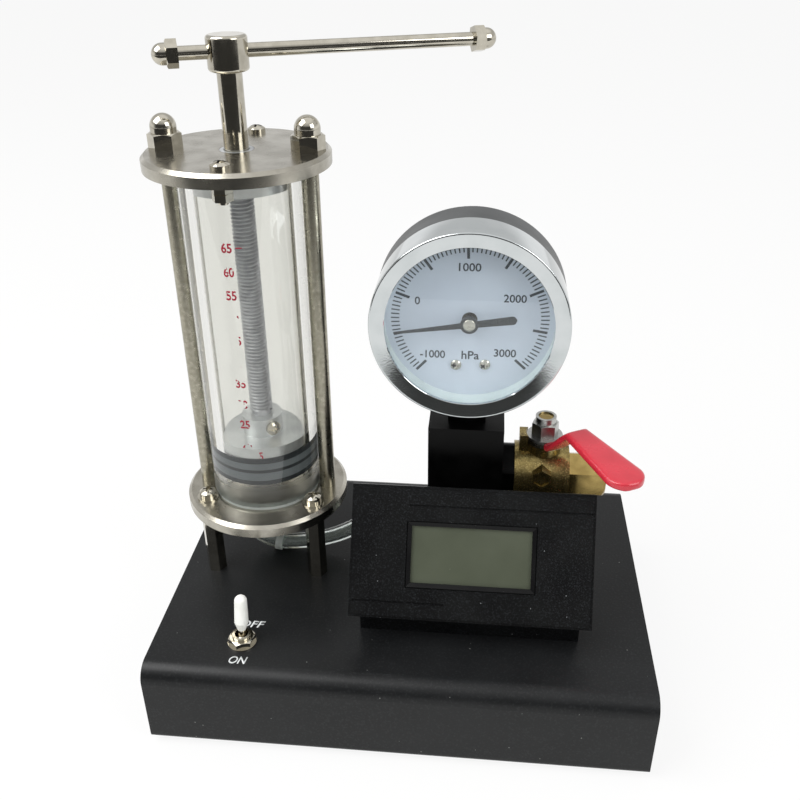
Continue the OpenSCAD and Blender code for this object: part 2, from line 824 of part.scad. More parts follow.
module spindle() color("#a8aaa6") {
    at_cylinder(0) difference() {
        union() {
            translate([0, 0, neck_z]) cylinder(d = neck_d, h = thread_z - neck_z + 0.5);
            translate([0, 0, thread_z]) cylinder(d = thread_d, h = shaft_z - thread_z);
            translate([0, 0, shaft_z - 0.5]) cylinder(d = shaft_d, h = head_z - shaft_z + 0.5);
            translate([0, 0, head_z - 0.5]) cylinder(d = tenon_d, h = tenon_l + 0.5);
        }
        translate([0, 0, collar_screw_z - m3_d / 2 - air]) difference() {
            cylinder(d = neck_d + cut, h = m3_d + 2 * air);
            translate([0, 0, -cut]) cylinder(d = screw_groove_d, h = m3_d + 2 * air + 2 * cut);
        }
    }
}

module spindle_head() color("#b7b5ac") {
    edge = 1;
    at_cylinder(head_z) difference() {
        rotate_extrude() {
            translate([0, edge]) square([head_d / 2, head_h - 2 * edge]);
            square([head_d / 2 - edge, head_h]);
            for (y = [edge, head_h - edge]) translate([head_d / 2 - edge, y]) circle(r = edge, $fn = 32);
        }
        translate([0, 0, -cut]) cylinder(d = tenon_d + 0.02, h = tenon_l + cut);
        translate([0, 0, bar_z - head_z]) rotate([0, 90, bar_turn])
            translate([0, 0, -head_d]) cylinder(d = bar_d + 2 * fit, h = 2 * head_d);
    }
}

// Frame of the bar: +Z runs along it, away from its short end
module bar_frame() {
    at_cylinder(bar_z) rotate([0, 90, bar_turn]) children();
}

module tommy_bar() color("#c9c7be") {
    stud = bar_nut_h * 0.6;
    bar_frame() {
        translate([0, 0, -bar_short]) cylinder(d = bar_d, h = bar_l);
        translate([0, 0, -bar_short - stud]) cylinder(d = bar_d - 0.6, h = bar_l + 2 * stud);
    }
}

module bar_nuts() color("#cfccc2") {
    bore = bar_d - 0.6 + 2 * slip;
    turn = 15;
    bar_frame() {
        translate([0, 0, bar_l - bar_short]) rotate([0, 0, turn]) acorn_nut(bar_nut_af, bar_nut_h, bore);
        translate([0, 0, -bar_short]) rotate([180, 0, 0]) acorn_nut(bar_nut_af, bar_nut_h, bore);
    }
}

// ---- Hose ----

module barb(hex_l, stem_l, stub_l) {
    rotate([0, 0, 30]) hex_prism(barb_af, hex_l);
    translate([0, 0, hex_l - cut]) cylinder(d = barb_d, h = stem_l + cut);
    translate([0, 0, -stub_l]) cylinder(d = stub_d, h = stub_l + cut);
}

module outlet_barb() color("#b9b6ab") {
    translate([cyl_x - outlet_left, row_y, lower_z]) rotate([180, 0, 0]) difference() {
        barb(barb_hex_l, barb_top - hose_start_z, plate_t);
        translate([0, 0, -plate_t - cut]) cylinder(d = 2.4, h = lower_z - hose_start_z + plate_t + 2 * cut);
    }
}

module manifold_barb() color("#b9b6ab") {
    face_x = block_x - block_w / 2;
    translate([face_x, row_y, hose_port_z]) rotate([0, -90, 0]) difference() {
        barb(barb_hex_l, face_x - barb_hex_l - hose_end_x, 6);
        translate([0, 0, -6 - cut]) cylinder(d = 2.4, h = face_x - hose_end_x + 6 + 2 * cut);
    }
}

function hose_place(k) = [hose_points[k][0], row_y, base_top + hose_points[k][1]];
function hose_heading(k) = let (
    last = len(hose_points) - 1,
    a = hose_points[max(k - 1, 0)],
    b = hose_points[min(k + 1, last)],
    d = k == 0 ? [0, -1] : k == last ? [1, 0] : b - a) d / norm(d);
function hose_ring(k, r) = let (p = hose_place(k), d = hose_heading(k)) [
    for (i = [0 : hose_sides - 1]) let (a = 360 * i / hose_sides)
        p + r * [-d[1] * sin(a), cos(a), d[0] * sin(a)]];

// Closed tube along points [first..last] of the route, ends square to it
module hose_tube(r) {
    rings = len(hose_points);
    n = hose_sides;
    skin = [for (k = [0 : rings - 1]) each hose_ring(k, r)];
    walls = [for (k = [0 : rings - 2], i = [0 : n - 1]) let (j = (i + 1) % n)
        each [[k * n + i, k * n + j, (k + 1) * n + i], [k * n + j, (k + 1) * n + j, (k + 1) * n + i]]];
    start_cap = [for (i = [n - 2 : -1 : 1]) [0, i + 1, i]];
    end_base = (rings - 1) * n;
    end_cap = [for (i = [1 : n - 2]) [end_base, end_base + i, end_base + i + 1]];
    polyhedron(points = skin, faces = concat(walls, start_cap, end_cap), convexity = 4);
}

module hose() color("#c9ccc8", 0.6) {
    hose_tube(hose_d / 2);
}

module hose_tie() color("#d4d6d0", 0.7) {
    k = 7;
    p = hose_place(k);
    d = hose_heading(k);
    band_w = 2.6;
    band_t = 0.5;
    translate(p) rotate([0, 90 - atan2(d[1], d[0]), 0]) translate([0, 0, -band_w / 2]) {
        difference() {
            cylinder(d = hose_d + 2 * band_t, h = band_w);
            translate([0, 0, -cut]) cylinder(d = hose_d + 0.02, h = band_w + 2 * cut);
        }
        translate([-2, hose_d / 2 + 0.1, -0.4]) cube([4, 3, band_w + 0.8]);
    }
}

// ---- Manifold ----

module manifold_block() color("#0d0d0d") {
    sink = block_w / 2;
    difference() {
        translate([block_x - block_w / 2, row_y - block_w / 2, base_top]) cube([block_w, block_w, block_h]);
        translate([block_x, row_y, hose_port_z - bore_d / 2]) cylinder(d = bore_d, h = block_h);
        translate([block_x, row_y, block_top - 9.5]) cylinder(d = gauge_port_d + 2 * slip, h = 9.5 + cut);
        translate([block_x - sink - cut, row_y, hose_port_z]) rotate([0, 90, 0]) {
            cylinder(d = stub_d + 2 * slip, h = 6.5 + cut);
            cylinder(d = 2.4, h = sink + cut);
        }
        translate([block_x, row_y, valve_z]) rotate([0, 90, 0]) {
            cylinder(d = bore_d, h = sink);
            translate([0, 0, sink - port_thread_l - 0.5])
                cylinder(d = port_thread_d + 2 * slip, h = port_thread_l + 0.5 + cut);
        }
        block_screw_places() translate([0, 0, base_top - cut])
            cylinder(d = m4_d + 2 * slip, h = block_screw_l + 2 + cut);
    }
}

module block_screws() color("#a2a29e") {
    block_screw_places() translate([0, 0, under_top]) rotate([180, 0, 0])
        pan_screw(m4_d, sheet_t + block_screw_l, m4_head_d - 1, m4_head_h);
}

// ---- Gauge ----

// Frame of the gauge: origin at the middle of its back, +Z forward to the viewer, +Y up
module gauge_frame() {
    translate([block_x, gauge_back, gauge_z]) rotate([90, 0, 0]) children();
}

module gauge_stem() color("#17181a") {
    case_low = gauge_z - case_r;
    neck_top = case_low + case_wall + 1;
    translate([block_x, row_y, 0]) {
        translate([-stem_w / 2, -stem_w / 2, block_top]) cube([stem_w, stem_w, case_low - block_top - 0.02]);
        translate([0, 0, block_top - 8.5]) cylinder(d = gauge_port_d, h = 9);
        translate([0, 0, case_low - 1]) cylinder(d = neck_port_d, h = neck_top - case_low + 1);
    }
}

module gauge_case() color("#4a4d50") {
    back_edge = 1.6;
    difference() {
        gauge_frame() difference() {
            rotate_extrude($fn = 96) {
                square([case_r - back_edge, shoulder_g]);
                translate([0, back_edge]) square([case_r, shoulder_g - back_edge]);
                translate([case_r - back_edge, back_edge]) circle(r = back_edge, $fn = 32);
                square([spigot_r, dial_front_g - dial_t]);
            }
            translate([0, 0, case_wall]) cylinder(r = spigot_r - case_wall, h = gauge_depth);
        }
        translate([block_x, row_y, gauge_z - case_r - cut])
            cylinder(d = neck_port_d + 2 * slip, h = case_wall + 4);
    }
}

module gauge_bezel() color("#c9ccce") {
    front_edge = 1.1;
    outer = gauge_d / 2;
    gauge_frame() difference() {
        rotate_extrude($fn = 96) {
            translate([0, shoulder_g]) square([outer, bezel_depth - front_edge]);
            translate([0, shoulder_g]) square([outer - front_edge, bezel_depth]);
            translate([outer - front_edge, gauge_depth - front_edge]) circle(r = front_edge, $fn = 32);
        }
        translate([0, 0, shoulder_g - cut])
            cylinder(r = spigot_r + slip, h = lens_front_g - shoulder_g + cut, $fn = 96);
        cylinder(r = window_r, h = gauge_depth + cut, $fn = 96);
    }
}

module gauge_lens() color("#dfe6ea", 0.3) {
    gauge_frame() translate([0, 0, lens_back_g]) cylinder(r = spigot_r, h = lens_t, $fn = 96);
}

module gauge_spacer() color("#e9ebec") {
    spacer_l = lens_back_g - dial_front_g;
    gauge_frame() translate([0, 0, dial_front_g]) difference() {
        cylinder(r = spigot_r, h = spacer_l, $fn = 96);
        translate([0, 0, -cut]) cylinder(r = window_r + 0.6, h = spacer_l + 2 * cut, $fn = 96);
    }
}

module dial_screw_places() {
    for (s = [-1, 1]) rotate([0, 0, dial_roll]) translate([s * dial_screw_x, dial_screw_y, 0]) children();
}

module gauge_dial() color("#b9c6d2") {
    gauge_frame() translate([0, 0, dial_front_g - dial_t]) difference() {
        cylinder(r = spigot_r, h = dial_t, $fn = 96);
        translate([0, 0, -cut]) cylinder(r = 2.4, h = dial_t + 2 * cut);
        translate([0, 0, -cut]) dial_screw_places()
            cylinder(d = dial_screw_d + 2 * slip, h = dial_t + 2 * cut);
    }
}

module dial_screws() color("#b0b4b6") {
    gauge_frame() translate([0, 0, dial_front_g]) dial_screw_places()
        pan_screw(dial_screw_d, dial_t + dial_screw_l, dial_screw_head_d, 1.1);
}

module gauge_needle() color("#1d2122") {
    tip_r = 0.77 * case_r;
    hub_r = 2.9;
    tail_r = 0.478 * case_r;
    tail_w = 2.6;
    gauge_frame() translate([0, 0, dial_front_g + needle_z]) difference() {
        union() {
            rotate([0, 0, needle_angle]) linear_extrude(needle_t) {
                polygon([[0, -0.85], [tip_r, -0.18], [tip_r, 0.18], [0, 0.85]]);
                polygon([[0, -0.8], [-tail_r + 1.3, -tail_w / 2], [-tail_r + 1.3, tail_w / 2], [0, 0.8]]);
                translate([-tail_r + 1.3, 0]) circle(d = tail_w, $fn = 32);
                circle(r = hub_r);
            }
            translate([0, 0, -1.9]) cylinder(r = 1.7, h = 2);
            rotate_extrude() intersection() {
                translate([0, needle_t - 3.2]) circle(r = 4);
                translate([0, needle_t]) square([2.4, 2]);
            }
        }
        translate([0, 0, -1.9 - cut]) cylinder(d = needle_shaft_d + 2 * fit, h = 1.9 + cut);
    }
}

// Socket, curved pressure tube, movement plates and needle shaft
module gauge_movement() color("#b08d4f") {
    socket_low = case_r - 4.4;
    socket_high = curve_r - 3;
    socket_w = 12;
    socket_t = 9;
    plate_low = curve_r - 2.5;
    plate_high = 9;
    plate_w = 16;
    works_w = 10.4;
    works_h = 13;
    works_t = 4.6;
    post_d = dial_screw_head_d;
    plate_g = case_wall + socket_t;
    dial_back_g = dial_front_g - dial_t;
    curve_w = 2;
    curve_t = 5.5;
    gauge_frame() difference() {
        union() {
            translate([-socket_w / 2, -socket_low, case_wall])
                cube([socket_w, socket_low - socket_high, socket_t]);
            rotate([0, 0, -76]) translate([0, 0, case_wall + 2.4]) rotate_extrude(angle = 272, $fn = 96)
                translate([curve_r - curve_w / 2, 0]) square([curve_w, curve_t]);
            translate([-plate_w / 2, -plate_low, plate_g - 0.1])
                cube([plate_w, plate_low + plate_high, 1.6]);
            translate([-works_w / 2, -works_h / 2, plate_g + 1]) cube([works_w, works_h, works_t]);
            translate([0, 0, case_wall + 2])
                cylinder(d = needle_shaft_d, h = dial_front_g + needle_z - 0.05 - case_wall - 2);
            dial_screw_places() translate([0, 0, plate_g]) cylinder(d = post_d, h = dial_back_g - plate_g);
        }
        dial_screw_places() translate([0, 0, dial_back_g - dial_screw_l - 0.4])
            cylinder(d = dial_screw_d + 2 * slip, h = dial_screw_l + cut);
    }
}

// ---- Valve ----

// Frame of the valve: +Z runs along the pipe to the right, origin on the axis at x
module pipe_frame(x) {
    translate([x, row_y, valve_z]) rotate([0, 90, 0]) children();
}

module valve_nipple() color("#121212") {
    pipe_frame(nipple_x) difference() {
        union() {
            intersection() {
                hex_prism(nipple_af, nipple_l);
                cylinder(d = nipple_af / cos(30) - 0.7, h = nipple_l);
            }
            translate([0, 0, -port_thread_l]) cylinder(d = port_thread_d, h = port_thread_l + cut);
            translate([0, 0, nipple_l - cut]) cylinder(d = port_thread_d - 2, h = seat_l + cut);
        }
        translate([0, 0, -port_thread_l - cut])
            cylinder(d = waterway_d, h = port_thread_l + nipple_l + seat_l + 2 * cut);
    }
}

// Bare hexagonal cast pad: a prism with a flat on top and a sunk face
module cast_pad(af, deep) {
    rim = 0.7;
    sunk = 0.5;
    rotate([90, 30, 0]) difference() {
        translate([0, 0, -deep]) hex_prism(af, deep);
        translate([0, 0, -sunk]) hex_prism(af - 2 * rim, sunk + cut);
    }
}

module valve_body() color("#8d7b45") {
    ridge = 2.1;
    rim_l = 1.6;
    pad_af = 6.2;
    pad_up = 4;          // pad above the pipe's axis
    pad_left = 0.7;      // pad left of the stem
    pad_out = 11.4;      // pad's face before the pipe's axis
    stop_x = [-8.5, -3];    // cast stop beside the bonnet, left of the stem
    stop_w = 6;
    stop_up = 3.4;
    stem_at = stem_x - body_x;
    bonnet_l = bonnet_top - valve_z;
    difference() {
        union() {
            pipe_frame(body_x) {
                cylinder(d = valve_d, h = valve_l);
                cylinder(d = valve_d + 0.8, h = ridge);
                translate([0, 0, valve_l - rim_l]) cylinder(d = valve_d + 0.5, h = rim_l);
            }
            translate([stem_x, row_y, valve_z]) {
                cylinder(d = bonnet_d, h = bonnet_l);
                translate([stop_x[0], -stop_w / 2, 0])
                    cube([stop_x[1] - stop_x[0], stop_w, bonnet_l + stop_up]);
                translate([-pad_left, -pad_out, pad_up]) cast_pad(pad_af, pad_out - valve_d * 0.3);
            }
        }
        pipe_frame(body_x) {
            translate([0, 0, -cut]) cylinder(d = port_thread_d - 2 + 2 * slip, h = seat_l + cut);
            cylinder(d = waterway_d, h = valve_l);
            translate([0, 0, stem_at]) sphere(r = cavity_r);
            translate([0, 0, stem_at]) cylinder(r = cavity_r, h = valve_l - stem_at + cut);
        }
        translate([stem_x, row_y, valve_z]) cylinder(d = valve_stem_d + 2 * fit, h = bonnet_l + cut);
        translate([stem_x, row_y, bonnet_top]) cylinder(r = nut_flange_d / 2 + air, h = stop_up + cut);
    }
}

module valve_end() color("#a8924f") {
    chamfer = 1.2;
    corner = outlet_af / cos(30) / 2;
    nose_l = end_x - stem_x - ball_d / 2 - air;
    pipe_frame(end_x) difference() {
        union() {
            intersection() {
                hex_prism(outlet_af, outlet_l);
                rotate_extrude() polygon([[0, 0], [corner + cut, 0], [corner + cut, outlet_l - chamfer - cut],
                    [corner - chamfer, outlet_l], [0, outlet_l]]);
            }
            translate([0, 0, -nose_l]) cylinder(r = cavity_r - slip, h = nose_l + cut);
        }
        translate([0, 0, outlet_l - outlet_deep]) cylinder(d = outlet_bore, h = outlet_deep + cut);
        translate([0, 0, -nose_l - cut]) cylinder(d = waterway_d, h = nose_l + outlet_l);
    }
}

// Everything that turns with the lever is drawn with the lever along +X
module lever_frame() {
    translate([stem_x, row_y, 0]) rotate([0, 0, lever_turn]) children();
}

module valve_ball() color("#c8c8c4") {
    lever_frame() translate([0, 0, valve_z]) difference() {
        sphere(d = ball_d);
        rotate([0, 90, 0]) translate([0, 0, -ball_d]) cylinder(d = waterway_d, h = 2 * ball_d);
        translate([-ball_d, -ball_d, ball_flat]) cube(2 * ball_d);
    }
}

module valve_stem() color("#b39a52") {
    lever_frame() translate([0, 0, valve_z + ball_flat])
        cylinder(d = valve_stem_d, h = nut_z + nut_h - 0.5 - valve_z - ball_flat);
}

// Flat steel strip in a vinyl sleeve: bare round hub, slanted neck, widening grip
module valve_lever() color("#d2283c") {
    neck_start = 7.5;
    grip_start = 18.5;
    tip_x = lever_reach - lever_w / 2;
    lever_frame() translate([0, 0, lever_z]) difference() {
        union() {
            cylinder(r = hub_r, h = hub_t);
            intersection() {
                translate([0, lever_w, 0]) rotate([90, 0, 0]) linear_extrude(2 * lever_w)
                    polygon([[0, 0], [neck_start + 1.2, 0], [grip_start + 0.8, lever_rise],
                        [lever_reach, lever_rise], [lever_reach, lever_rise + lever_t],
                        [grip_start - 0.8, lever_rise + lever_t], [neck_start - 0.6, hub_t], [0, hub_t]]);
                linear_extrude(2 * lever_rise) {
                    translate([0, -lever_bend_w / 2]) square([grip_start, lever_bend_w]);
                    polygon([[grip_start - 1, -lever_bend_w / 2], [tip_x, -lever_w / 2], [tip_x, lever_w / 2],
                        [grip_start - 1, lever_bend_w / 2]]);
                    translate([tip_x, 0]) circle(d = lever_w);
                }
            }
        }
        translate([0, 0, -cut]) cylinder(d = valve_stem_d + 2 * slip, h = hub_t + 2 * cut);
    }
}

// Flange nut with a round locking collar
module lever_nut() color("#bdbbb2") {
    nut_af = 8;
    turn = 12;
    lever_frame() translate([0, 0, nut_z]) difference() {
        union() {
            cylinder(d = nut_flange_d, h = nut_flange_t);
            translate([0, 0, nut_flange_t - 0.2]) rotate([0, 0, turn]) hex_nut_blank(nut_af, nut_hex_h + 0.2);
            cylinder(d = nut_collar_d, h = nut_h);
        }
        translate([0, 0, -cut]) cylinder(d = valve_stem_d + 2 * slip, h = nut_h + 2 * cut);
    }
}

// ---- Thermometer ----

// Frame of the slope: X to the right, Y up the slope, Z out of the face
module slope_frame() {
    translate([meter_x, meter_y, meter_z]) rotate([90 - meter_lean, 0, 0]) children();
}

module meter_bezel() color("#1c1e21") {
    rim = pocket_margin;
    edge = 0.9;
    groove_w = 0.7;
    groove_deep = 0.5;
    upper_groove = [19, meter_h - 6.6];     // left end and height of the long groove
    lower_groove = [1, 5.2];
    lower_groove_l = 30;
    slope_frame() difference() {
        union() {
            translate([0, 0, -meter_t]) cube([meter_w, meter_h, meter_t - edge]);
            translate([edge, edge, -meter_t]) cube([meter_w - 2 * edge, meter_h - 2 * edge, meter_t]);
        }
        translate([lcd_left - rim, lcd_low - rim, -0.8]) cube([lcd_w + 2 * rim, lcd_h + 2 * rim, 2]);
        translate([lcd_left, lcd_low, -meter_t - cut]) cube([lcd_w, lcd_h, meter_t + 2 * cut]);
        translate([lcd_left - rim, lcd_low - rim, -meter_t - cut])
            cube([lcd_w + 2 * rim, lcd_h + 2 * rim, meter_t - 1.6 + cut]);
        translate([upper_groove[0], upper_groove[1], -groove_deep])
            cube([meter_w - 1 - upper_groove[0], groove_w, cut]);
        translate([lower_groove[0], lower_groove[1], -groove_deep]) cube([lower_groove_l, groove_w, cut]);
    }
}

module lcd_panel() color("#5f6650") {
    rim = pocket_margin - slip;
    slope_frame() translate([lcd_left - rim, lcd_low - rim, -meter_t])
        cube([lcd_w + 2 * rim, lcd_h + 2 * rim, meter_t - 1.6]);
}

// Point on the bezel's back plane, as [y, z], at height v up the slope
function slope_back(v) = [meter_y + meter_t * cos(meter_lean) + v * sin(meter_lean),
    meter_z - meter_t * sin(meter_lean) + v * cos(meter_lean)];

// Side outline of the housing, set in by wall on its outer faces
function housing_outline(wall) = let (
    foot_y = housing_foot_y + wall,
    v_low = (foot_y - meter_y - meter_t * cos(meter_lean)) / sin(meter_lean),
    low = slope_back(v_low),
    top = slope_back(housing_top_v - wall),
    back_y = housing_back_y - wall,
    back_z = slope_back(housing_top_v)[1] - 7 - wall)
    [[foot_y, base_top - (wall > 0 ? cut : 0)], low, top, [back_y, back_z],
        [back_y, base_top - (wall > 0 ? cut : 0)]];

// Wedge shaped shell, open below and open in front where the bezel closes it
module meter_housing() color("#1a1b1d") {
    boss_d = 7;
    boss_h = 9;
    left = meter_x + housing_inset;
    width = meter_w - 2 * housing_inset;
    difference() {
        translate([left, 0, 0]) rotate([90, 0, 90]) linear_extrude(width) polygon(housing_outline(0));
        translate([left + housing_wall, 0, 0]) rotate([90, 0, 90])
            linear_extrude(width - 2 * housing_wall) polygon(housing_outline(housing_wall));
    }
    meter_screw_places() translate([0, 0, base_top]) difference() {
        union() {
            cylinder(d = boss_d, h = boss_h);
            translate([-housing_wall / 2, 0, 0])
                cube([housing_wall, (housing_back_y - housing_foot_y) / 2 - housing_wall / 2, boss_h]);
        }
        translate([0, 0, -cut]) cylinder(d = m3_d + 2 * slip, h = boss_h - 2 + cut);
    }
}

base_cover();
base_tray();
tray_screws();
rubber_feet();
battery_holder();
battery_cell();
switch_body();
switch_bushing();
switch_nut();
switch_washers();
toggle_lever();
lever_cap();
standoffs();
standoff_screws();
standoff_washers();
base_screws();
lower_plate();
upper_plate();
tie_rods();
tie_rod_nuts();
tie_rod_screws();
cylinder_tube();
tube_gasket();
spindle_nut();
plate_screws();
plate_nuts();
piston_disc();
piston_body();
piston_rings();
piston_collar();
collar_screw();
spindle();
spindle_head();
tommy_bar();
bar_nuts();
outlet_barb();
hose();
hose_tie();
manifold_barb();
manifold_block();
block_screws();
gauge_case();
gauge_stem();
gauge_bezel();
gauge_lens();
gauge_spacer();
gauge_dial();
dial_screws();
gauge_needle();
gauge_movement();
valve_nipple();
valve_body();
valve_end();
valve_ball();
valve_stem();
valve_lever();
lever_nut();
meter_housing();
meter_bezel();
lcd_panel();
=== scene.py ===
"""Looks of a bench gas law apparatus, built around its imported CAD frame.

Lengths are millimetres in the frame of the CAD model, with the origin at the middle of the
footprint, +X right, +Y back and +Z up. They turn into metres when a mesh is made. Only the room
round the object is laid out in metres.
"""
import sys
import logging
import math
import random
from contextlib import contextmanager
from dataclasses import dataclass
from enum import Enum
from typing import Any, Callable, ClassVar, Iterator, Optional, Sequence, Union

import bpy
from mathutils import Matrix, Vector


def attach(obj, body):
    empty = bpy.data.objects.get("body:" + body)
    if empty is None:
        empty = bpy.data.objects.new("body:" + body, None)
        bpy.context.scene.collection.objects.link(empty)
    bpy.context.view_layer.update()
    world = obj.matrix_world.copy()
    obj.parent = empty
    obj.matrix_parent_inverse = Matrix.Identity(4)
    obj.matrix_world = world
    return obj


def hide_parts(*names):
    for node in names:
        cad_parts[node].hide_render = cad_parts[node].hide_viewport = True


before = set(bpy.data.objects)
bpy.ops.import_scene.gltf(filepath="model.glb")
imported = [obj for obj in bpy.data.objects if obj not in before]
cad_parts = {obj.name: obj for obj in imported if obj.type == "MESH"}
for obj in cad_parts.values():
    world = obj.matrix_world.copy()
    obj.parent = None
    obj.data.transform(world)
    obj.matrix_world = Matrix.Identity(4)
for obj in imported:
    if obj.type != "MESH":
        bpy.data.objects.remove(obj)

Pair = tuple[float, float]
Point = tuple[float, float, float]
Sockets = dict[Union[str, int], Any]
Obj = bpy.types.Object
Socket = bpy.types.NodeSocket
Tree = bpy.types.NodeTree

LOG = logging.getLogger("apparatus")
MM = 0.001
INK_MM = 0.03
BASE_TOP = 32.8
CYLINDER_AXIS: Pair = (-52.3, 7.5)
UPRIGHT = Matrix.Rotation(math.radians(90), 4, "X")


class Body(Enum):
    """The moving groups of the CAD model."""

    ROOT = "root"
    PISTON = "piston"
    SPINDLE = "spindle"
    VALVE = "valve"
    NEEDLE = "needle"


# ---- Materials: shared tools


def linear(code: str) -> tuple[float, ...]:
    """Turns an sRGB hex colour into the linear colour that Blender's sockets take.

    Args:
        code: the colour as "#rrggbb".

    Returns:
        Red, green, blue and alpha, linear.
    """
    values = [int(code[at:at + 2], 16) / 255 for at in (1, 3, 5)]
    channels = [v / 12.92 if v <= 0.04045 else ((v + 0.055) / 1.055) ** 2.4 for v in values]
    return (*channels, 1.0)


def add_node(tree: Tree, kind: str, settings: Optional[dict[str, Any]] = None,
             inputs: Optional[Sockets] = None) -> Any:
    """Adds a node with its settings, values and links.

    Args:
        tree: the node tree that the node goes into.
        kind: the node's type name, without the ShaderNode before it.
        settings: attributes of the node.
        inputs: a value, or an output socket to link, for each named or numbered input.

    Returns:
        The outputs of the new node.
    """
    node = tree.nodes.new("ShaderNode" + kind)
    for name, value in (settings or {}).items():
        setattr(node, name, value)
    for name, value in (inputs or {}).items():
        if isinstance(value, Socket):
            tree.links.new(value, node.inputs[name])
        else:
            node.inputs[name].default_value = value
    return node.outputs


def blank(owner: Union[bpy.types.Material, bpy.types.World]) -> Tree:
    """Empties the node tree of a material or world.

    Args:
        owner: the material or world.

    Returns:
        Its node tree.
    """
    owner.use_nodes = True
    owner.node_tree.nodes.clear()
    return owner.node_tree


def maths(tree: Tree, operation: str, first: Any, second: Any) -> Socket:
    """Combines two values or sockets by an operation."""
    return add_node(tree, "Math", {"operation": operation}, {0: first, 1: second})[0]


def spanned(tree: Tree, value: Socket, source: Pair = (0.0, 1.0), target: Pair = (0.0, 1.0),
            smooth: bool = False) -> Socket:
    """Maps a value from one span to another, and holds it at the ends.

    Args:
        tree: the node tree.
        value: the socket that gives the value.
        source: where the value starts and ends.
        target: what it becomes there.
        smooth: True to ease in and out.

    Returns:
        The socket of the mapped value.
    """
    return add_node(tree, "MapRange", {"interpolation_type": "SMOOTHSTEP" if smooth else "LINEAR"}, {
        "Value": value, "From Min": source[0], "From Max": source[1],
        "To Min": target[0], "To Max": target[1]})[0]


def noise(tree: Tree, place: Socket, size_mm: float, detail: float) -> Socket:
    """Adds noise of a real size."""
    return add_node(tree, "TexNoise", inputs={
        "Vector": place, "Scale": 1 / (size_mm * MM), "Detail": detail})["Fac"]


def mix_colour(tree: Tree, share: Any, first: Any, second: Any) -> Socket:
    """Mixes two colours."""
    return add_node(tree, "Mix", {"data_type": "RGBA"}, {0: share, 6: first, 7: second})[2]


def mix_shader(tree: Tree, share: Any, first: Any, second: Any) -> Socket:
    """Mixes two shaders."""
    return add_node(tree, "MixShader", inputs={0: share, 1: first, 2: second})[0]


# ---- Meshes: shared tools


def pick(obj: Obj) -> None:
    """Makes one object the only selected and the active one.

    Args:
        obj: the object.
    """
    bpy.ops.object.select_all(action="DESELECT")
    obj.select_set(True)
    bpy.context.view_layer.objects.active = obj


def fresh(operator: Callable[..., Any], **settings: Any) -> Obj:
    """Adds a primitive with nothing else selected.

    Args:
        operator: the operator that adds it.
        **settings: its settings.

    Returns:
        The new, active object.
    """
    bpy.ops.object.select_all(action="DESELECT")
    operator(**settings)
    return bpy.context.object


@contextmanager
def editing(whole: bool = True) -> Iterator[None]:
    """Opens the active mesh for editing, and closes it afterwards.

    Args:
        whole: True to start with all of it selected.
    """
    bpy.ops.object.mode_set(mode="EDIT")
    if whole:
        bpy.ops.mesh.select_all(action="SELECT")
    yield
    bpy.ops.object.mode_set(mode="OBJECT")


def pull(right: float, back: float, up: float) -> None:
    """Extrudes what is selected by a step in mm."""
    bpy.ops.mesh.extrude_region_move(TRANSFORM_OT_translate={"value": (right * MM, back * MM, up * MM)})


def face_out() -> None:
    """Turns all faces of the mesh in editing outwards."""
    bpy.ops.mesh.select_all(action="SELECT")
    bpy.ops.mesh.normals_make_consistent(inside=False)


def smooth_below(degrees: float) -> None:
    """Shades the selected meshes smooth, with edges sharper than an angle kept."""
    bpy.ops.object.shade_smooth_by_angle(angle=math.radians(degrees))


def moved(x: float, y: float, z: float) -> Matrix:
    """Gives the matrix of a shift in mm."""
    return Matrix.Translation((x * MM, y * MM, z * MM))


def settle(obj: Obj, name: str) -> Obj:
    """Names a piece and moves its place into its mesh.

    Args:
        obj: the piece, anywhere.
        name: its name in the model.

    Returns:
        The same piece, with its object at the origin.
    """
    obj.name = name
    obj.data.name = name
    pick(obj)
    bpy.ops.object.transform_apply(location=True, rotation=True, scale=True)
    return obj


def joined(objs: Sequence[Obj], name: str) -> Obj:
    """Joins several meshes into one piece.

    Args:
        objs: the meshes.
        name: the name of the joined piece.

    Returns:
        The joined piece.
    """
    pick(objs[0])
    for obj in objs[1:]:
        obj.select_set(True)
    bpy.ops.object.join()
    return settle(bpy.context.view_layer.objects.active, name)


def add_modifier(obj: Obj, kind: str, **settings: Any) -> None:
    """Adds a modifier and applies it at once.

    Args:
        obj: the piece.
        kind: the modifier's type.
        **settings: its settings.
    """
    pick(obj)
    modifier = obj.modifiers.new(kind.lower(), kind)
    for key, value in settings.items():
        setattr(modifier, key, value)
    bpy.ops.object.modifier_apply(modifier=modifier.name)


def turned(name: str, rings: Sequence[Pair], centre: Pair = (0, 0), segments: int = 64,
           closed: bool = True) -> Obj:
    """Turns a round piece: a circle that is extruded and scaled from ring to ring.

    Args:
        name: the piece's name.
        rings: radius and height of each ring, from the bottom up, or round a section.
        centre: X and Y of the axis.
        segments: the number of sides.
        closed: True for caps at both ends, False to bridge the last ring to the first.

    Returns:
        The piece, with its faces pointing outwards.
    """
    radius, height = rings[0]
    obj = fresh(bpy.ops.mesh.primitive_circle_add, vertices=segments, radius=radius * MM,
                location=(centre[0] * MM, centre[1] * MM, height * MM))
    with editing():
        for (r0, z0), (r1, z1) in zip(rings, rings[1:]):
            pull(0, 0, z1 - z0)
            bpy.ops.transform.resize(value=(r1 / r0, r1 / r0, 1))
        bpy.ops.mesh.select_all(action="DESELECT")
        bpy.ops.mesh.select_non_manifold()
        if closed:
            bpy.ops.mesh.fill_holes(sides=0)
        else:
            bpy.ops.mesh.bridge_edge_loops()
        face_out()
    smooth_below(30)
    return settle(obj, name)


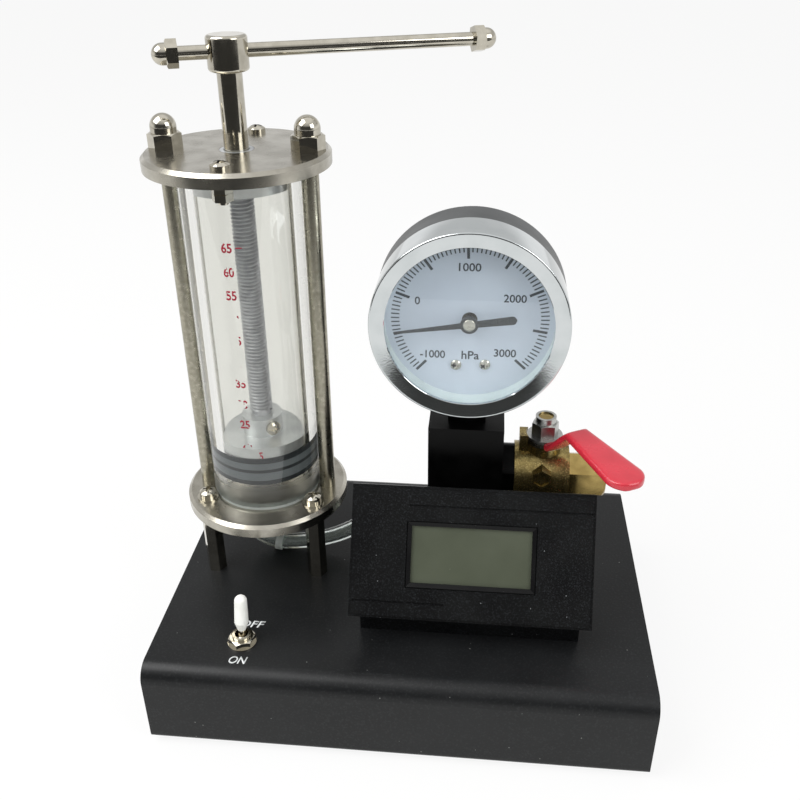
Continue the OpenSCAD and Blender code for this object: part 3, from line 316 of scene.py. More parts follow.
def sheet(wide: float, high: float) -> Obj:
    """Makes a flat rectangle round the origin, of a size in mm.

    Args:
        wide: its size to the right.
        high: its size upwards.

    Returns:
        A mesh object of one face.
    """
    obj = fresh(bpy.ops.mesh.primitive_plane_add, size=MM)
    obj.scale = (wide, high, 1)
    bpy.ops.object.transform_apply(location=False, rotation=False, scale=True)
    return obj


def bar_mark(centre: Pair, length: float, width: float, turn: float = 0.0,
             thick: float = INK_MM) -> Obj:
    """Makes one printed stroke or flat bar, a rectangle extruded to its thickness.

    Args:
        centre: its middle as right and up.
        length: its length, along its turn.
        width: its width.
        turn: its direction in radians, counter-clockwise from the right.
        thick: its thickness.

    Returns:
        A mesh object.
    """
    obj = sheet(length, width)
    with editing():
        pull(0, 0, thick)
        face_out()
    obj.data.transform(moved(*centre, 0) @ Matrix.Rotation(turn, 4, "Z"))
    return obj


@dataclass(frozen=True)
class Lettering:
    """A word or number, made as thin raised ink of an exact size.

    Args:
        text: the characters.
        centre: its middle on the surface, as right and up.
        width: its width.
        height: its height.
        slant: the lean of italic letters.
        bold: how far the strokes are thickened, as a share of the font's size.
    """

    text: str
    centre: Pair
    width: float
    height: float
    slant: float = 0.0
    bold: float = 0.014

    def build(self, keep: float = 1.0, seed: int = 0) -> Obj:
        """Makes the lettering flat on Z = 0, facing +Z.

        Args:
            keep: the share of it that isn't worn away.
            seed: seeds the worn patches.

        Returns:
            A mesh object.
        """
        obj = fresh(bpy.ops.object.text_add, location=(0, 0, 0))
        obj.data.body = self.text
        obj.data.shear = self.slant
        obj.data.offset = self.bold
        obj.data.resolution_u = 6
        bpy.ops.object.convert(target="MESH")
        obj = bpy.context.object
        low = [min(v.co[k] for v in obj.data.vertices) for k in range(2)]
        high = [max(v.co[k] for v in obj.data.vertices) for k in range(2)]
        for v in obj.data.vertices:
            for k, size in enumerate((self.width, self.height)):
                share = (v.co[k] - low[k]) / (high[k] - low[k]) - 0.5
                v.co[k] = (self.centre[k] + share * size) * MM
        with editing():
            bpy.ops.mesh.remove_doubles(threshold=1e-6)
        if keep < 1.0:
            wear(obj, keep, seed)
        add_modifier(obj, "SOLIDIFY", thickness=INK_MM * MM, offset=1.0)
        return obj


def wear(obj: Obj, keep: float, seed: int) -> None:
    """Rubs print away: patches of its faces go, as on a handled tube.

    Args:
        obj: the print, flat on Z = 0 round the origin.
        keep: the share that stays.
        seed: seeds the patches.
    """
    patches, half_wide, half_high, widest = 5, 1.7, 1.8, 1.9
    chance = random.Random(seed)
    pick(obj)
    with editing():
        bpy.ops.mesh.quads_convert_to_tris()
        bpy.ops.mesh.subdivide(number_cuts=2)
        bpy.ops.mesh.select_all(action="DESELECT")
    spots = []
    for _ in range(patches):
        right, up = chance.uniform(-half_wide, half_wide), chance.uniform(-half_high, half_high)
        spots.append(Vector((right * MM, up * MM, 0)))
    reach = (1.0 - keep) * widest * MM
    for face in obj.data.polygons:
        middle = Vector((face.center.x, face.center.y, 0))
        face.select = any((middle - spot).length < reach for spot in spots)
    with editing(whole=False):
        bpy.ops.mesh.delete(type="FACE")


# ---- Finishes


# Where most of a noise's values lie, where nearly all do, and where the tips of its grain begin.
NOISE_CORE: Pair = (0.35, 0.65)
NOISE_SPAN: Pair = (0.3, 0.7)
NOISE_TIPS: Pair = (0.52, 0.68)
# A rings wave repeats every 0.314 / scale metres.
WAVE_M = 0.314
SMOOTHEST = 0.02
SCUFFED_ROUGHNESS = 0.3
# A thin clear wall casts next to no shadow: this share of the light goes through it.
SHADOW_PASS = 0.9


@dataclass(frozen=True)
class Finish:
    """An opaque surface: its colour, sheen and the fine marks of how it was made.

    Args:
        name: real material and process.
        colour, shade: main sRGB colour, and the one it drifts to in clouds.
        roughness: middle roughness.
        marks_mm: size of the clouds, size of the grain and height of the grain.
        metallic: 1 for bare metal.
        spread: how far the roughness drifts either way.
        centre, pitch_mm: a point on the axis of turned marks, and their spacing, 0 for none.
        dust: colour, size in mm and mean distance in mm of its specks, or nothing.
        coat: strength of a clear coat.
        specular: reflection of a plastic or paint, 0.5 for the usual one.
        fleck: lighter colour on the tips of the grain, painted as glints, or nothing.
    """

    name: str
    colour: str
    shade: str
    roughness: float
    marks_mm: Point
    metallic: float = 0.0
    spread: float = 0.05
    centre: Point = (0.0, 0.0, 0.0)
    pitch_mm: float = 0.0
    dust: Optional[tuple[str, float, float]] = None
    coat: float = 0.0
    specular: float = 0.5
    fleck: str = ""

    def material(self) -> bpy.types.Material:
        """Builds the node material.

        Returns:
            The material.
        """
        cloud_mm, grain_mm, deep_mm = self.marks_mm
        made = bpy.data.materials.new(self.name)
        tree = blank(made)
        coords = add_node(tree, "TexCoord")["Object"]
        placed = add_node(tree, "Mapping", {"vector_type": "TEXTURE"}, {
            "Vector": coords, "Location": [c * MM for c in self.centre]})[0]
        clouds = noise(tree, placed, cloud_mm, 3.0)
        grain = noise(tree, placed, grain_mm, 2.0)
        height = grain
        if self.pitch_mm:
            rings = add_node(tree, "TexWave", {"wave_type": "RINGS", "rings_direction": "Z"}, {
                "Vector": placed, "Scale": WAVE_M / (self.pitch_mm * MM), "Distortion": 1.5,
                "Detail": 1.0})["Fac"]
            height = maths(tree, "ADD", grain, rings)
        blend = spanned(tree, clouds, NOISE_CORE)
        colour = mix_colour(tree, blend, linear(self.colour), linear(self.shade))
        # Painted glints: the tips of the grain get a lighter colour that stands for sparkle of light.
        if self.fleck:
            colour = mix_colour(tree, spanned(tree, grain, NOISE_TIPS), colour, linear(self.fleck))
        if self.dust:
            speck, speck_mm, gap_mm = self.dust
            cells = add_node(tree, "TexVoronoi", inputs={"Vector": coords, "Scale": 1 / (gap_mm * MM)})
            dot = maths(tree, "LESS_THAN", cells["Distance"], speck_mm / gap_mm)
            colour = mix_colour(tree, dot, colour, linear(speck))
        lowest = max(self.roughness - self.spread, SMOOTHEST)
        rough = spanned(tree, clouds, NOISE_SPAN, (lowest, self.roughness + self.spread))
        bump = add_node(tree, "Bump", inputs={
            "Strength": 1.0, "Distance": deep_mm * MM, "Height": height})[0]
        shader = add_node(tree, "BsdfPrincipled", inputs={
            "Base Color": colour, "Roughness": rough, "Metallic": self.metallic, "Normal": bump,
            "Coat Weight": self.coat, "Coat Roughness": 0.08, "Specular IOR Level": self.specular})[0]
        add_node(tree, "OutputMaterial", inputs={"Surface": shader})
        return made


@dataclass(frozen=True)
class ClearFinish:
    """A clear or milky plastic or glass.

    Args:
        name: real material and process.
        tint: sRGB tint of what passes through.
        ior: refractive index.
        roughness: middle roughness.
        cloud_mm: size of the faint unevenness.
        transmission: share of light that passes.
        scuffed_mm: height below which its wall is scuffed, 0 for nowhere.
    """

    name: str
    tint: str
    ior: float
    roughness: float
    cloud_mm: float = 20.0
    transmission: float = 1.0
    scuffed_mm: float = 0.0

    def material(self) -> bpy.types.Material:
        """Builds the node material.

        Returns:
            The material.
        """
        made = bpy.data.materials.new(self.name)
        tree = blank(made)
        coords = add_node(tree, "TexCoord")["Object"]
        clouds = noise(tree, coords, self.cloud_mm, 2.0)
        rough = spanned(tree, clouds, target=(self.roughness * 0.5, self.roughness * 1.5))
        if self.scuffed_mm:
            height = add_node(tree, "SeparateXYZ", inputs={0: coords})["Z"]
            edge = ((self.scuffed_mm - 1) * MM, self.scuffed_mm * MM)
            rough = maths(tree, "ADD", rough, spanned(tree, height, edge, (SCUFFED_ROUGHNESS, 0.0)))
        shader = add_node(tree, "BsdfPrincipled", inputs={
            "Base Color": linear(self.tint), "Roughness": rough, "IOR": self.ior,
            "Transmission Weight": self.transmission})[0]
        shadow = add_node(tree, "LightPath")["Is Shadow Ray"]
        share = maths(tree, "MULTIPLY", shadow, self.transmission * SHADOW_PASS)
        passed = add_node(tree, "BsdfTransparent", inputs={"Color": linear(self.tint)})[0]
        add_node(tree, "OutputMaterial", inputs={"Surface": mix_shader(tree, share, shader, passed)})
        return made


Look = Union[Finish, ClearFinish]

# Powder coat: fine orange peel, a soft sheen, a few dust specks, and painted glints on the tips of its
# grain.
POWDER_COAT = Finish(
    "powder_coated_steel", "#131415", "#191a1b", 0.36, (30, 0.7, 0.012),
    dust=("#777876", 0.2, 5.5), specular=0.24, fleck="#212223")
# Chemical blackening over milled steel: nearly matt, the tool marks just show. Also used as painted shade:
# the dark cross in each dial screw's recess.
BLACK_OXIDE_AND_RECESS_SHADE = Finish(
    "blackened_steel_milled_and_recess_shade", "#030303", "#070707", 0.36, (6, 0.3, 0.006), spread=0.06, specular=0.12)
# Bright nickel over rolled plate: a warm, blurred mirror with soft clouds and fine pits.
NICKEL_PLATE = Finish(
    "nickel_plated_steel_rolled", "#b7b3a8", "#a29e93", 0.24, (7, 0.6, 0.002), 1.0)
# Bright nickel over turned standoffs, screws, nuts and the bar: sharp, warm mirror images.
NICKEL_BRIGHT = Finish(
    "nickel_plated_steel_turned", "#c6c1b4", "#b5b0a3", 0.09, (3, 0.5, 0.002), 1.0, 0.03)
# Nickel over a coarsely ground rod: a sandy grain breaks the mirror.
NICKEL_GROUND = Finish(
    "nickel_plated_steel_ground", "#a9a596", "#979384", 0.3, (1.6, 0.4, 0.004), 1.0)
# Zinc plated thread: dull, bluish grey, light on the crests.
ZINC_THREAD = Finish(
    "zinc_plated_steel_threaded", "#b4b6bb", "#a3a5aa", 0.38, (3, 0.25, 0.006), 0.75, 0.06)
# Zinc on the pressed flange nut: cold and satin, with dents from the plating barrel.
ZINC_BRIGHT = Finish(
    "zinc_plated_steel_pressed", "#c3c4c1", "#b0b1ae", 0.32, (2, 0.5, 0.008), 1.0, 0.06)
# Aluminium faced on a lathe: fine rings round the axis.
ALUMINIUM_TURNED = Finish(
    "aluminium_turned", "#c8cbcd", "#babdc0", 0.33, (6, 0.3, 0.004), 0.7,
    centre=(*CYLINDER_AXIS, 0.0), pitch_mm=0.35)
# Grey nitrile cups wetted by grease: an even, mild sheen behind the clear wall.
GREY_SEAL = Finish("nitrile_rubber_moulded_grey", "#5f6568", "#555b5e", 0.42, (9, 0.6, 0.006))
# Black nitrile rings, greased too: bluish black bands with the same mild sheen.
BLACK_SEAL = Finish("nitrile_rubber_moulded_black", "#24282c", "#1d2124", 0.4, (7, 0.5, 0.006))
# Enamelled pressed steel: dark grey with a soft sheen.
CASE_ENAMEL = Finish(
    "enamelled_steel_pressed", "#323536", "#2c2f30", 0.36, (14, 0.9, 0.008), spread=0.04)
# Thin bright chrome: a cold mirror, slightly rippled by the pressing under it.
CHROME = Finish("chromed_steel_spun", "#cdd1d2", "#c4c9ca", 0.05, (9, 0.5, 0.007), 1.0, 0.02)
# Printed aluminium dial: satin, bluish white.
DIAL_ENAMEL = Finish(
    "aluminium_dial_lacquered", "#ccd2db", "#c5cbd5", 0.5, (16, 0.4, 0.003), spread=0.04)
# Moulded spacer ring in the gauge: plain off-white, half matt.
SPACER_WHITE = Finish("abs_moulded_white", "#d9e0dd", "#cfd7d4", 0.42, (8, 0.5, 0.005))
# Stoved black paint on the thin needle: dark and smooth, so it stands out from the dial.
NEEDLE_PAINT = Finish("aluminium_needle_painted", "#14181a", "#1b2022", 0.4, (5, 0.3, 0.004))
# Cast brass, tumbled: greenish gold, pitted and stained, with painted glints on the tips of its grain.
BRASS_CAST = Finish(
    "brass_cast_tumbled", "#9c8a57", "#6a5d3a", 0.3, (3.2, 0.5, 0.03), 0.95, 0.08, fleck="#b5a36d")
# Brass left bright from the lathe: clear yellow with soft mirror images.
BRASS_TURNED = Finish("brass_turned", "#b39c62", "#9a8450", 0.22, (5, 0.4, 0.006), 0.97)
# Stamped movement behind the dial: dull brass painted dark brown, as painted shade behind the dial.
BRASS_PAINTED_SHADE = Finish("brass_stamped_painted_shade", "#4b4538", "#3b372e", 0.38, (3, 0.4, 0.006), 0.9, 0.06)
# Soft vinyl dipped over the lever: glossy, saturated red.
VINYL_DIPPED = Finish("vinyl_dipped_red", "#c92c3c", "#bd2636", 0.3, (7, 1.4, 0.02), coat=0.3)
# ABS moulded in a sparked tool: even matt grain with pale dust in it, and painted glints on the tips of
# the grain.
ABS_TEXTURED = Finish(
    "abs_moulded_textured_black", "#060607", "#0b0c0c", 0.42, (18, 0.5, 0.05),
    dust=("#8b8e90", 0.14, 3.0), specular=0.2, fleck="#1d1f21")
# Smooth black round the display, darker than the sparked face.
ABS_SMOOTH = Finish(
    "abs_moulded_polished_black", "#050506", "#0a0a0b", 0.24, (9, 0.4, 0.004), spread=0.04,
    specular=0.18)
# Segment display behind its polariser: flat olive grey.
LCD_POLARISER = Finish(
    "lcd_glass_polariser", "#4e5345", "#464b3d", 0.22, (18, 0.3, 0.001), spread=0.03,
    dust=("#8d917f", 0.1, 5), coat=0.4)
# The toggle's soft cap: warm white with hardly any shine.
PVC_CAP = Finish("pvc_moulded_white", "#f0f1ec", "#e6e7e1", 0.4, (4, 0.5, 0.004))
# Rubber feet: dead matt, dusty black.
RUBBER_FOOT = Finish("rubber_moulded_black", "#19191a", "#202021", 0.7, (3, 0.3, 0.01), spread=0.06)
# The switch's moulded body, inside the base: slate blue, half matt.
PHENOLIC = Finish("phenolic_moulded_switch", "#3c5263", "#344857", 0.45, (5, 0.5, 0.01))
# The cell's shrunk jacket, inside the base: plain silver grey.
CELL_JACKET = Finish("cell_jacket_shrunk", "#77797d", "#6b6d71", 0.3, (6, 0.5, 0.01), 0.3, 0.04)
# Cut silicone sheet under the tube: a pale, matt edge.
GASKET = Finish("silicone_gasket_cut", "#a9afae", "#9fa5a4", 0.5, (6, 0.5, 0.01))
# Printing inks: flat colour with a slight unevenness, as from a screen.
INK_CRIMSON = Finish("screen_ink_crimson", "#8e0d27", "#a1142f", 0.45, (0.7, 0.2, 0.01))
INK_WHITE = Finish("screen_ink_white", "#dfe2e2", "#cfd3d3", 0.5, (1.5, 0.2, 0.01))
INK_DARK = Finish("screen_ink_slate", "#2c343a", "#242b30", 0.5, (2, 0.2, 0.01))
# Cast acrylic tube, polished: clear with a warm tint, duller at its scuffed foot.
ACRYLIC = ClearFinish("acrylic_cast_polished", "#edede9", 1.49, 0.004, scuffed_mm=72.5)
# The gauge's moulded window: all but invisible, with a sharp reflection.
LENS = ClearFinish("polycarbonate_lens_moulded", "#f4f8fa", 1.52, 0.01)
# Silicone hose: clear with a milky skin.
SILICONE = ClearFinish("silicone_hose_extruded", "#dfe5e2", 1.41, 0.12, 5.0, 0.93)
# Nylon strap: milky, and it blurs what is behind it.
NYLON = ClearFinish("nylon_strap_moulded", "#e4e8e4", 1.5, 0.35, 3.0, 0.6)


# ---- Studio


class Studio:
    """Camera, floor, lamps and surroundings of the photograph.

    The camera's place is in mm and everything round it in metres.
    """

    place = (23.824, -261.05, 251.545)
    right = (0.99519598, 0.09752384, -0.00860545)
    up = (-0.04040002, 0.48914775, 0.87126478)
    lens, sensor = 40.943, 36.0
    floor_side, floor_z = 6.0, -0.0002
    # How much of the floor glows by itself, and how much of that gloss sees
    floor_glow, floor_gloss = 0.88, 0.7
    # The dark flag's edges before the object, its width and its height
    flag_near, flag_far, flag_wide, flag_z = -0.35, -2.17, 3.0, 0.0004
    # The dark room behind the camera, by the Y and Z of the direction in which gloss looks
    room_y, room_z, room_dark = (-0.75, -0.25), (0.3, 0.65), 0.92
    # The greyer wall above the backdrop, and the lighter ceiling over it
    wall_z, wall_light = (0.12, 0.3), 0.7
    ceiling_z, ceiling_light = (0.65, 0.9), 0.35
    plain_light = 0.55
    # Name, place, side and watts of each soft box, and the spot they all point at
    lamps = (
        ("soft_box_left", (-0.55, -0.25, 0.85), 0.7, 9.0), ("soft_box_right", (0.7, -0.45, 0.6), 0.5, 3.2))
    lamp_aim = (0, 0, 0.08)

    def set_camera(self) -> None:
        """Sets the camera where the photograph was taken from."""
        data = bpy.data.cameras.new("photo_camera")
        data.lens = self.lens
        data.sensor_width = self.sensor
        data.clip_start = 0.01
        right, up = Vector(self.right), Vector(self.up)
        turn = Matrix((right, up, right.cross(up))).transposed().to_4x4()
        obj = bpy.data.objects.new("photo_camera", data)
        obj.matrix_world = Matrix.Translation(Vector(self.place) * MM) @ turn
        bpy.context.scene.collection.objects.link(obj)
        bpy.context.scene.camera = obj

    def lay_floor(self) -> None:
        """Lays the plain pale floor, which keeps the object's shadow."""
        obj = fresh(bpy.ops.mesh.primitive_plane_add, size=self.floor_side, location=(0, 0, self.floor_z))
        obj.name = "floor"
        made = bpy.data.materials.new("floor_paper_white")
        tree = blank(made)
        path = add_node(tree, "LightPath")
        direct = maths(tree, "MAXIMUM", path["Is Camera Ray"], path["Is Transmission Ray"])
        glossy = maths(tree, "MULTIPLY", path["Is Glossy Ray"], self.floor_gloss)
        seen = maths(tree, "MAXIMUM", direct, glossy)
        share = maths(tree, "MULTIPLY", seen, self.floor_glow)
        paper = add_node(tree, "BsdfDiffuse", inputs={"Color": linear("#ededeb")})[0]
        glow = add_node(tree, "Emission", inputs={"Color": (1, 1, 1, 1), "Strength": 1.0})[0]
        add_node(tree, "OutputMaterial", inputs={"Surface": mix_shader(tree, share, paper, glow)})
        obj.data.materials.append(made)

    def lay_flag(self) -> None:
        """Lays a dark flag before the object, seen by gloss alone, as the photograph's dark room."""
        middle = (self.flag_near + self.flag_far) / 2
        obj = fresh(bpy.ops.mesh.primitive_plane_add, size=1.0, location=(0, middle, self.flag_z))
        obj.name = "dark_flag"
        obj.scale = (self.flag_wide, self.flag_near - self.flag_far, 1)
        obj.visible_camera = False
        obj.visible_diffuse = False
        obj.visible_shadow = False
        obj.visible_transmission = False
        made = bpy.data.materials.new("flag_cloth_black")
        tree = blank(made)
        cloth = add_node(tree, "BsdfPrincipled", inputs={
            "Base Color": linear("#191917"), "Roughness": 0.9})[0]
        add_node(tree, "OutputMaterial", inputs={"Surface": cloth})
        obj.data.materials.append(made)

    def surround(self) -> None:
        """Makes the world: white to the camera, in gloss and through glass, plain light elsewhere.

        Gloss sees the backdrop white, the wall above it greyer and the room behind the camera dark.
        """
        world = bpy.data.worlds.new("studio")
        bpy.context.scene.world = world
        tree = blank(world)
        path = add_node(tree, "LightPath")
        axes = add_node(tree, "SeparateXYZ", inputs={0: add_node(tree, "TexCoord")["Generated"]})
        front = spanned(tree, axes["Y"], self.room_y, (self.room_dark, 0.0), True)
        low = spanned(tree, axes["Z"], self.room_z, (1.0, 0.0), True)
        wall = spanned(tree, axes["Z"], self.wall_z, (1.0, self.wall_light), True)
        ceiling = spanned(tree, axes["Z"], self.ceiling_z, (0.0, self.ceiling_light), True)
        lit = maths(tree, "SUBTRACT", 1.0, maths(tree, "MULTIPLY", front, low))
        gloss = maths(tree, "MULTIPLY", maths(tree, "ADD", wall, ceiling), lit)
        direct = maths(tree, "MAXIMUM", path["Is Camera Ray"], path["Is Transmission Ray"])
        plain, shiny, white = (
            add_node(tree, "Background", inputs={"Color": (1, 1, 1, 1), "Strength": strength})[0]
            for strength in (self.plain_light, gloss, 1.0))
        first = mix_shader(tree, path["Is Glossy Ray"], plain, shiny)
        add_node(tree, "OutputWorld", inputs={"Surface": mix_shader(tree, direct, first, white)})

    def hang_lamps(self) -> None:
        """Hangs two soft boxes: a large one above and to the left, a weaker one to the right."""
        for name, place, side, watts in self.lamps:
            data = bpy.data.lights.new(name, "AREA")
            data.shape = "SQUARE"
            data.size = side
            data.energy = watts
            obj = bpy.data.objects.new(name, data)
            turn = (Vector(self.lamp_aim) - Vector(place)).to_track_quat("-Z", "Y")
            obj.matrix_world = Matrix.Translation(place) @ turn.to_matrix().to_4x4()
            bpy.context.scene.collection.objects.link(obj)

    def build(self) -> None:
        """Sets up the whole studio."""
        bpy.context.scene.view_settings.view_transform = "Standard"
        self.set_camera()
        self.lay_floor()
        self.lay_flag()
        self.surround()
        self.hang_lamps()


# ---- Sub-assemblies


class Assembly:
    """A part of the apparatus: what it adds to the frame, and the finish of its CAD nodes."""

    looks: ClassVar[tuple[tuple[Look, Sequence[str]], ...]] = ()
    built: ClassVar[dict[str, bpy.types.Material]] = {}

    def material(self, finish: Look) -> bpy.types.Material:
        """Gives the material of a finish, building it the first time."""
        if finish.name not in self.built:
            self.built[finish.name] = finish.material()
        return self.built[finish.name]

    def piece(self, obj: Obj, finish: Look, body: Body, slot: str,
              replaced: Sequence[str] = ()) -> None:
        """Finishes a new piece and ties it to the frame.

        Args:
            obj: the piece, in place.
            finish: its finish.
            body: the body that it rides on.
            slot: name of a material slot, not used.
            replaced: the CAD nodes that it stands for.
        """
        obj.data.materials.clear()
        obj.data.materials.append(self.material(finish))
        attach(obj, body.value)
        if replaced:
            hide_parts(*replaced)
        LOG.info("piece %s on %s: %d faces", obj.name, body.value, len(obj.data.polygons))

    def build(self) -> None:
        """Adds nothing, where the CAD nodes are enough."""

    def dress(self) -> None:
        """Puts the finishes on the CAD nodes."""
        for finish, names in self.looks:
            for name in names:
                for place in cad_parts[name].material_slots:
                    place.material = self.material(finish)
                LOG.info("node %s: %s", name, finish.name)


class Hose(Assembly):
    """The soft hose from the cylinder's outlet to the manifold, with its strap."""

    looks = ((NYLON, ["hose_tie"]),)

    wall, diameter, row_y = 1.4, 6.0, 7.5
    # The route's points in the plane of the row: right, and height above the base
    route = (
        (-61.9, 20.8), (-61.9, 18), (-61.6, 15), (-60.5, 11.6), (-58.6, 8.6), (-56.1, 6.2), (-53.2, 4.6),
        (-49.9, 3.7), (-46.4, 3.6), (-42.4, 4), (-37.6, 4.9), (-32.8, 6.2), (-28, 8), (-23.2, 10.6),
        (-18.6, 13.8), (-14.4, 17.4), (-10.4, 21), (-6.6, 23.9), (-3, 25.6), (-0.9, 26), (0.7, 26))

    def line(self) -> list[Vector]:
        """Rounds the route off between its points, by a Catmull-Rom curve.

        Returns:
            Its points in metres.
        """
        flat = [Vector((x, self.row_y, BASE_TOP + z)) * MM for x, z in self.route]
        out = []
        for k in range(len(flat) - 1):
            a, b, c, d = flat[max(k - 1, 0)], flat[k], flat[k + 1], flat[min(k + 2, len(flat) - 1)]
            for t in (0.0, 0.5):
                out.append(0.5 * (2 * b + (c - a) * t + (2 * a - 5 * b + 4 * c - d) * t * t
                                  + (3 * b - a - 3 * c + d) * t ** 3))
        return out + [flat[-1]]

    def build(self) -> None:
        points = self.line()
        data = bpy.data.curves.new("hose_line", "CURVE")
        data.dimensions = "3D"
        spline = data.splines.new("POLY")
        spline.points.add(len(points) - 1)
        for slot, point in zip(spline.points, points):
            slot.co = (*point, 1.0)
        data.bevel_depth = self.diameter / 2 * MM
        data.bevel_resolution = 8
        obj = bpy.data.objects.new("hose_soft", data)
        bpy.context.scene.collection.objects.link(obj)
        pick(obj)
        bpy.ops.object.convert(target="MESH")
        obj = bpy.context.object
        add_modifier(obj, "SOLIDIFY", thickness=self.wall * MM, offset=-1.0)
        smooth_below(40)
        settle(obj, "hose_soft")
        self.piece(obj, SILICONE, Body.ROOT, "clear_silicone", ["hose"])


class Base(Assembly):
    """The folded cover, tray and feet, and the print at the switch."""

    looks = (
        (POWDER_COAT, ["base_cover", "base_tray"]),
        (RUBBER_FOOT, ["rubber_feet"]),
        (NICKEL_GROUND, ["tray_screws", "base_screws", "block_screws"]),
        (ABS_TEXTURED, ["battery_holder"]),
        (CELL_JACKET, ["battery_cell"]))

    letter_high, slant, lift = 3.2, 0.22, 0.002

    def build(self) -> None:
        """Prints the words at the switch."""
        words = (("ON", (-51.7, -50.8), 6.0), ("OFF", (-50.9, -34.0), 8.6))
        marks = [Lettering(*word, self.letter_high, self.slant).build() for word in words]
        obj = joined(marks, "switch_print")
        obj.data.transform(moved(0, 0, BASE_TOP + self.lift))
        self.piece(obj, INK_WHITE, Body.ROOT, "cap_white")


class CylinderStand(Assembly):
    """Standoffs, plates, rods and the graduated tube."""

    looks = (
        (NICKEL_PLATE, ["lower_plate", "upper_plate"]),
        (NICKEL_GROUND, ["tie_rods"]),
        (NICKEL_BRIGHT, ["standoffs", "tie_rod_nuts", "tie_rod_screws", "standoff_screws",
                         "standoff_washers", "plate_screws", "plate_nuts", "outlet_barb"]),
        (ALUMINIUM_TURNED, ["spindle_nut"]),
        (GASKET, ["tube_gasket"]))

    tube_od, tube_id, tube_low, tube_high, tube_edge = 38.0, 29.0, 64.9, 179.4, 0.3
    lift = 0.004
    # The highest number and its place, and the steps down from it
    high_ml, high_z, mark_ml, mark_step = 65, 159.25, 5, 7.58
    # Share of each number that isn't worn away, downwards from the highest
    kept = (1.0, 0.88, 0.92, 0.25, 0.15, 0.3, 0.68, 0.62, 0.9, 0.45)
    number, number_bold, number_turn = (3.2, 3.1), 0.028, -92.0
    tick, tick_turn = (1.9, 0.38), -80.9
    # What is left of the lowest number
    scrap, scrap_kept, scrap_turn, scrap_z = (2.6, 3.0), 0.6, -81.0, 86.3

    def build_tube(self) -> None:
        """Makes the clear tube as one fine turned wall."""
        outer, inner, edge = self.tube_od / 2, self.tube_id / 2, self.tube_edge
        obj = turned("acrylic_tube", [
            (inner, self.tube_low), (outer - edge, self.tube_low), (outer, self.tube_low + edge),
            (outer, self.tube_high - edge), (outer - edge, self.tube_high), (inner, self.tube_high)],
            CYLINDER_AXIS, 192, closed=False)
        self.piece(obj, ACRYLIC, Body.ROOT, "clear_acrylic", ["cylinder_tube"])

    def wrap(self, obj: Obj, turn: float, height: float) -> Obj:
        """Wraps flat print round the tube.

        Args:
            obj: print on Z = 0, centred on its own middle.
            turn: the direction of its middle from the axis, in degrees.
            height: the height of its middle.

        Returns:
            The same object.
        """
        x, y = CYLINDER_AXIS
        for v in obj.data.vertices:
            angle = math.radians(turn) + v.co.x / (self.tube_od / 2 * MM)
            reach = (self.tube_od / 2 + self.lift) * MM + v.co.z
            v.co = (x * MM + reach * math.cos(angle), y * MM + reach * math.sin(angle),
                    height * MM + v.co.y)
        return obj

    def build_marks(self) -> None:
        """Prints the numbers and the mark that isn't worn away."""
        marks = []
        for k, keep in enumerate(self.kept):
            ml = self.high_ml - self.mark_ml * k
            label = Lettering(str(ml), (0, 0), *self.number, bold=self.number_bold).build(keep, ml)
            if label.data.polygons:
                marks.append(self.wrap(label, self.number_turn, self.high_z - self.mark_step * k))
        scrap = Lettering("15", (0, 0), *self.scrap).build(self.scrap_kept, 3)
        marks.append(self.wrap(scrap, self.scrap_turn, self.scrap_z))
        marks.append(self.wrap(bar_mark((0, 0), *self.tick), self.tick_turn, self.high_z))
        self.piece(joined(marks, "graduations"), INK_CRIMSON, Body.ROOT, "lever_vinyl")

    def build(self) -> None:
        """Makes the pieces that the CAD leaves plain."""
        self.build_tube()
        self.build_marks()


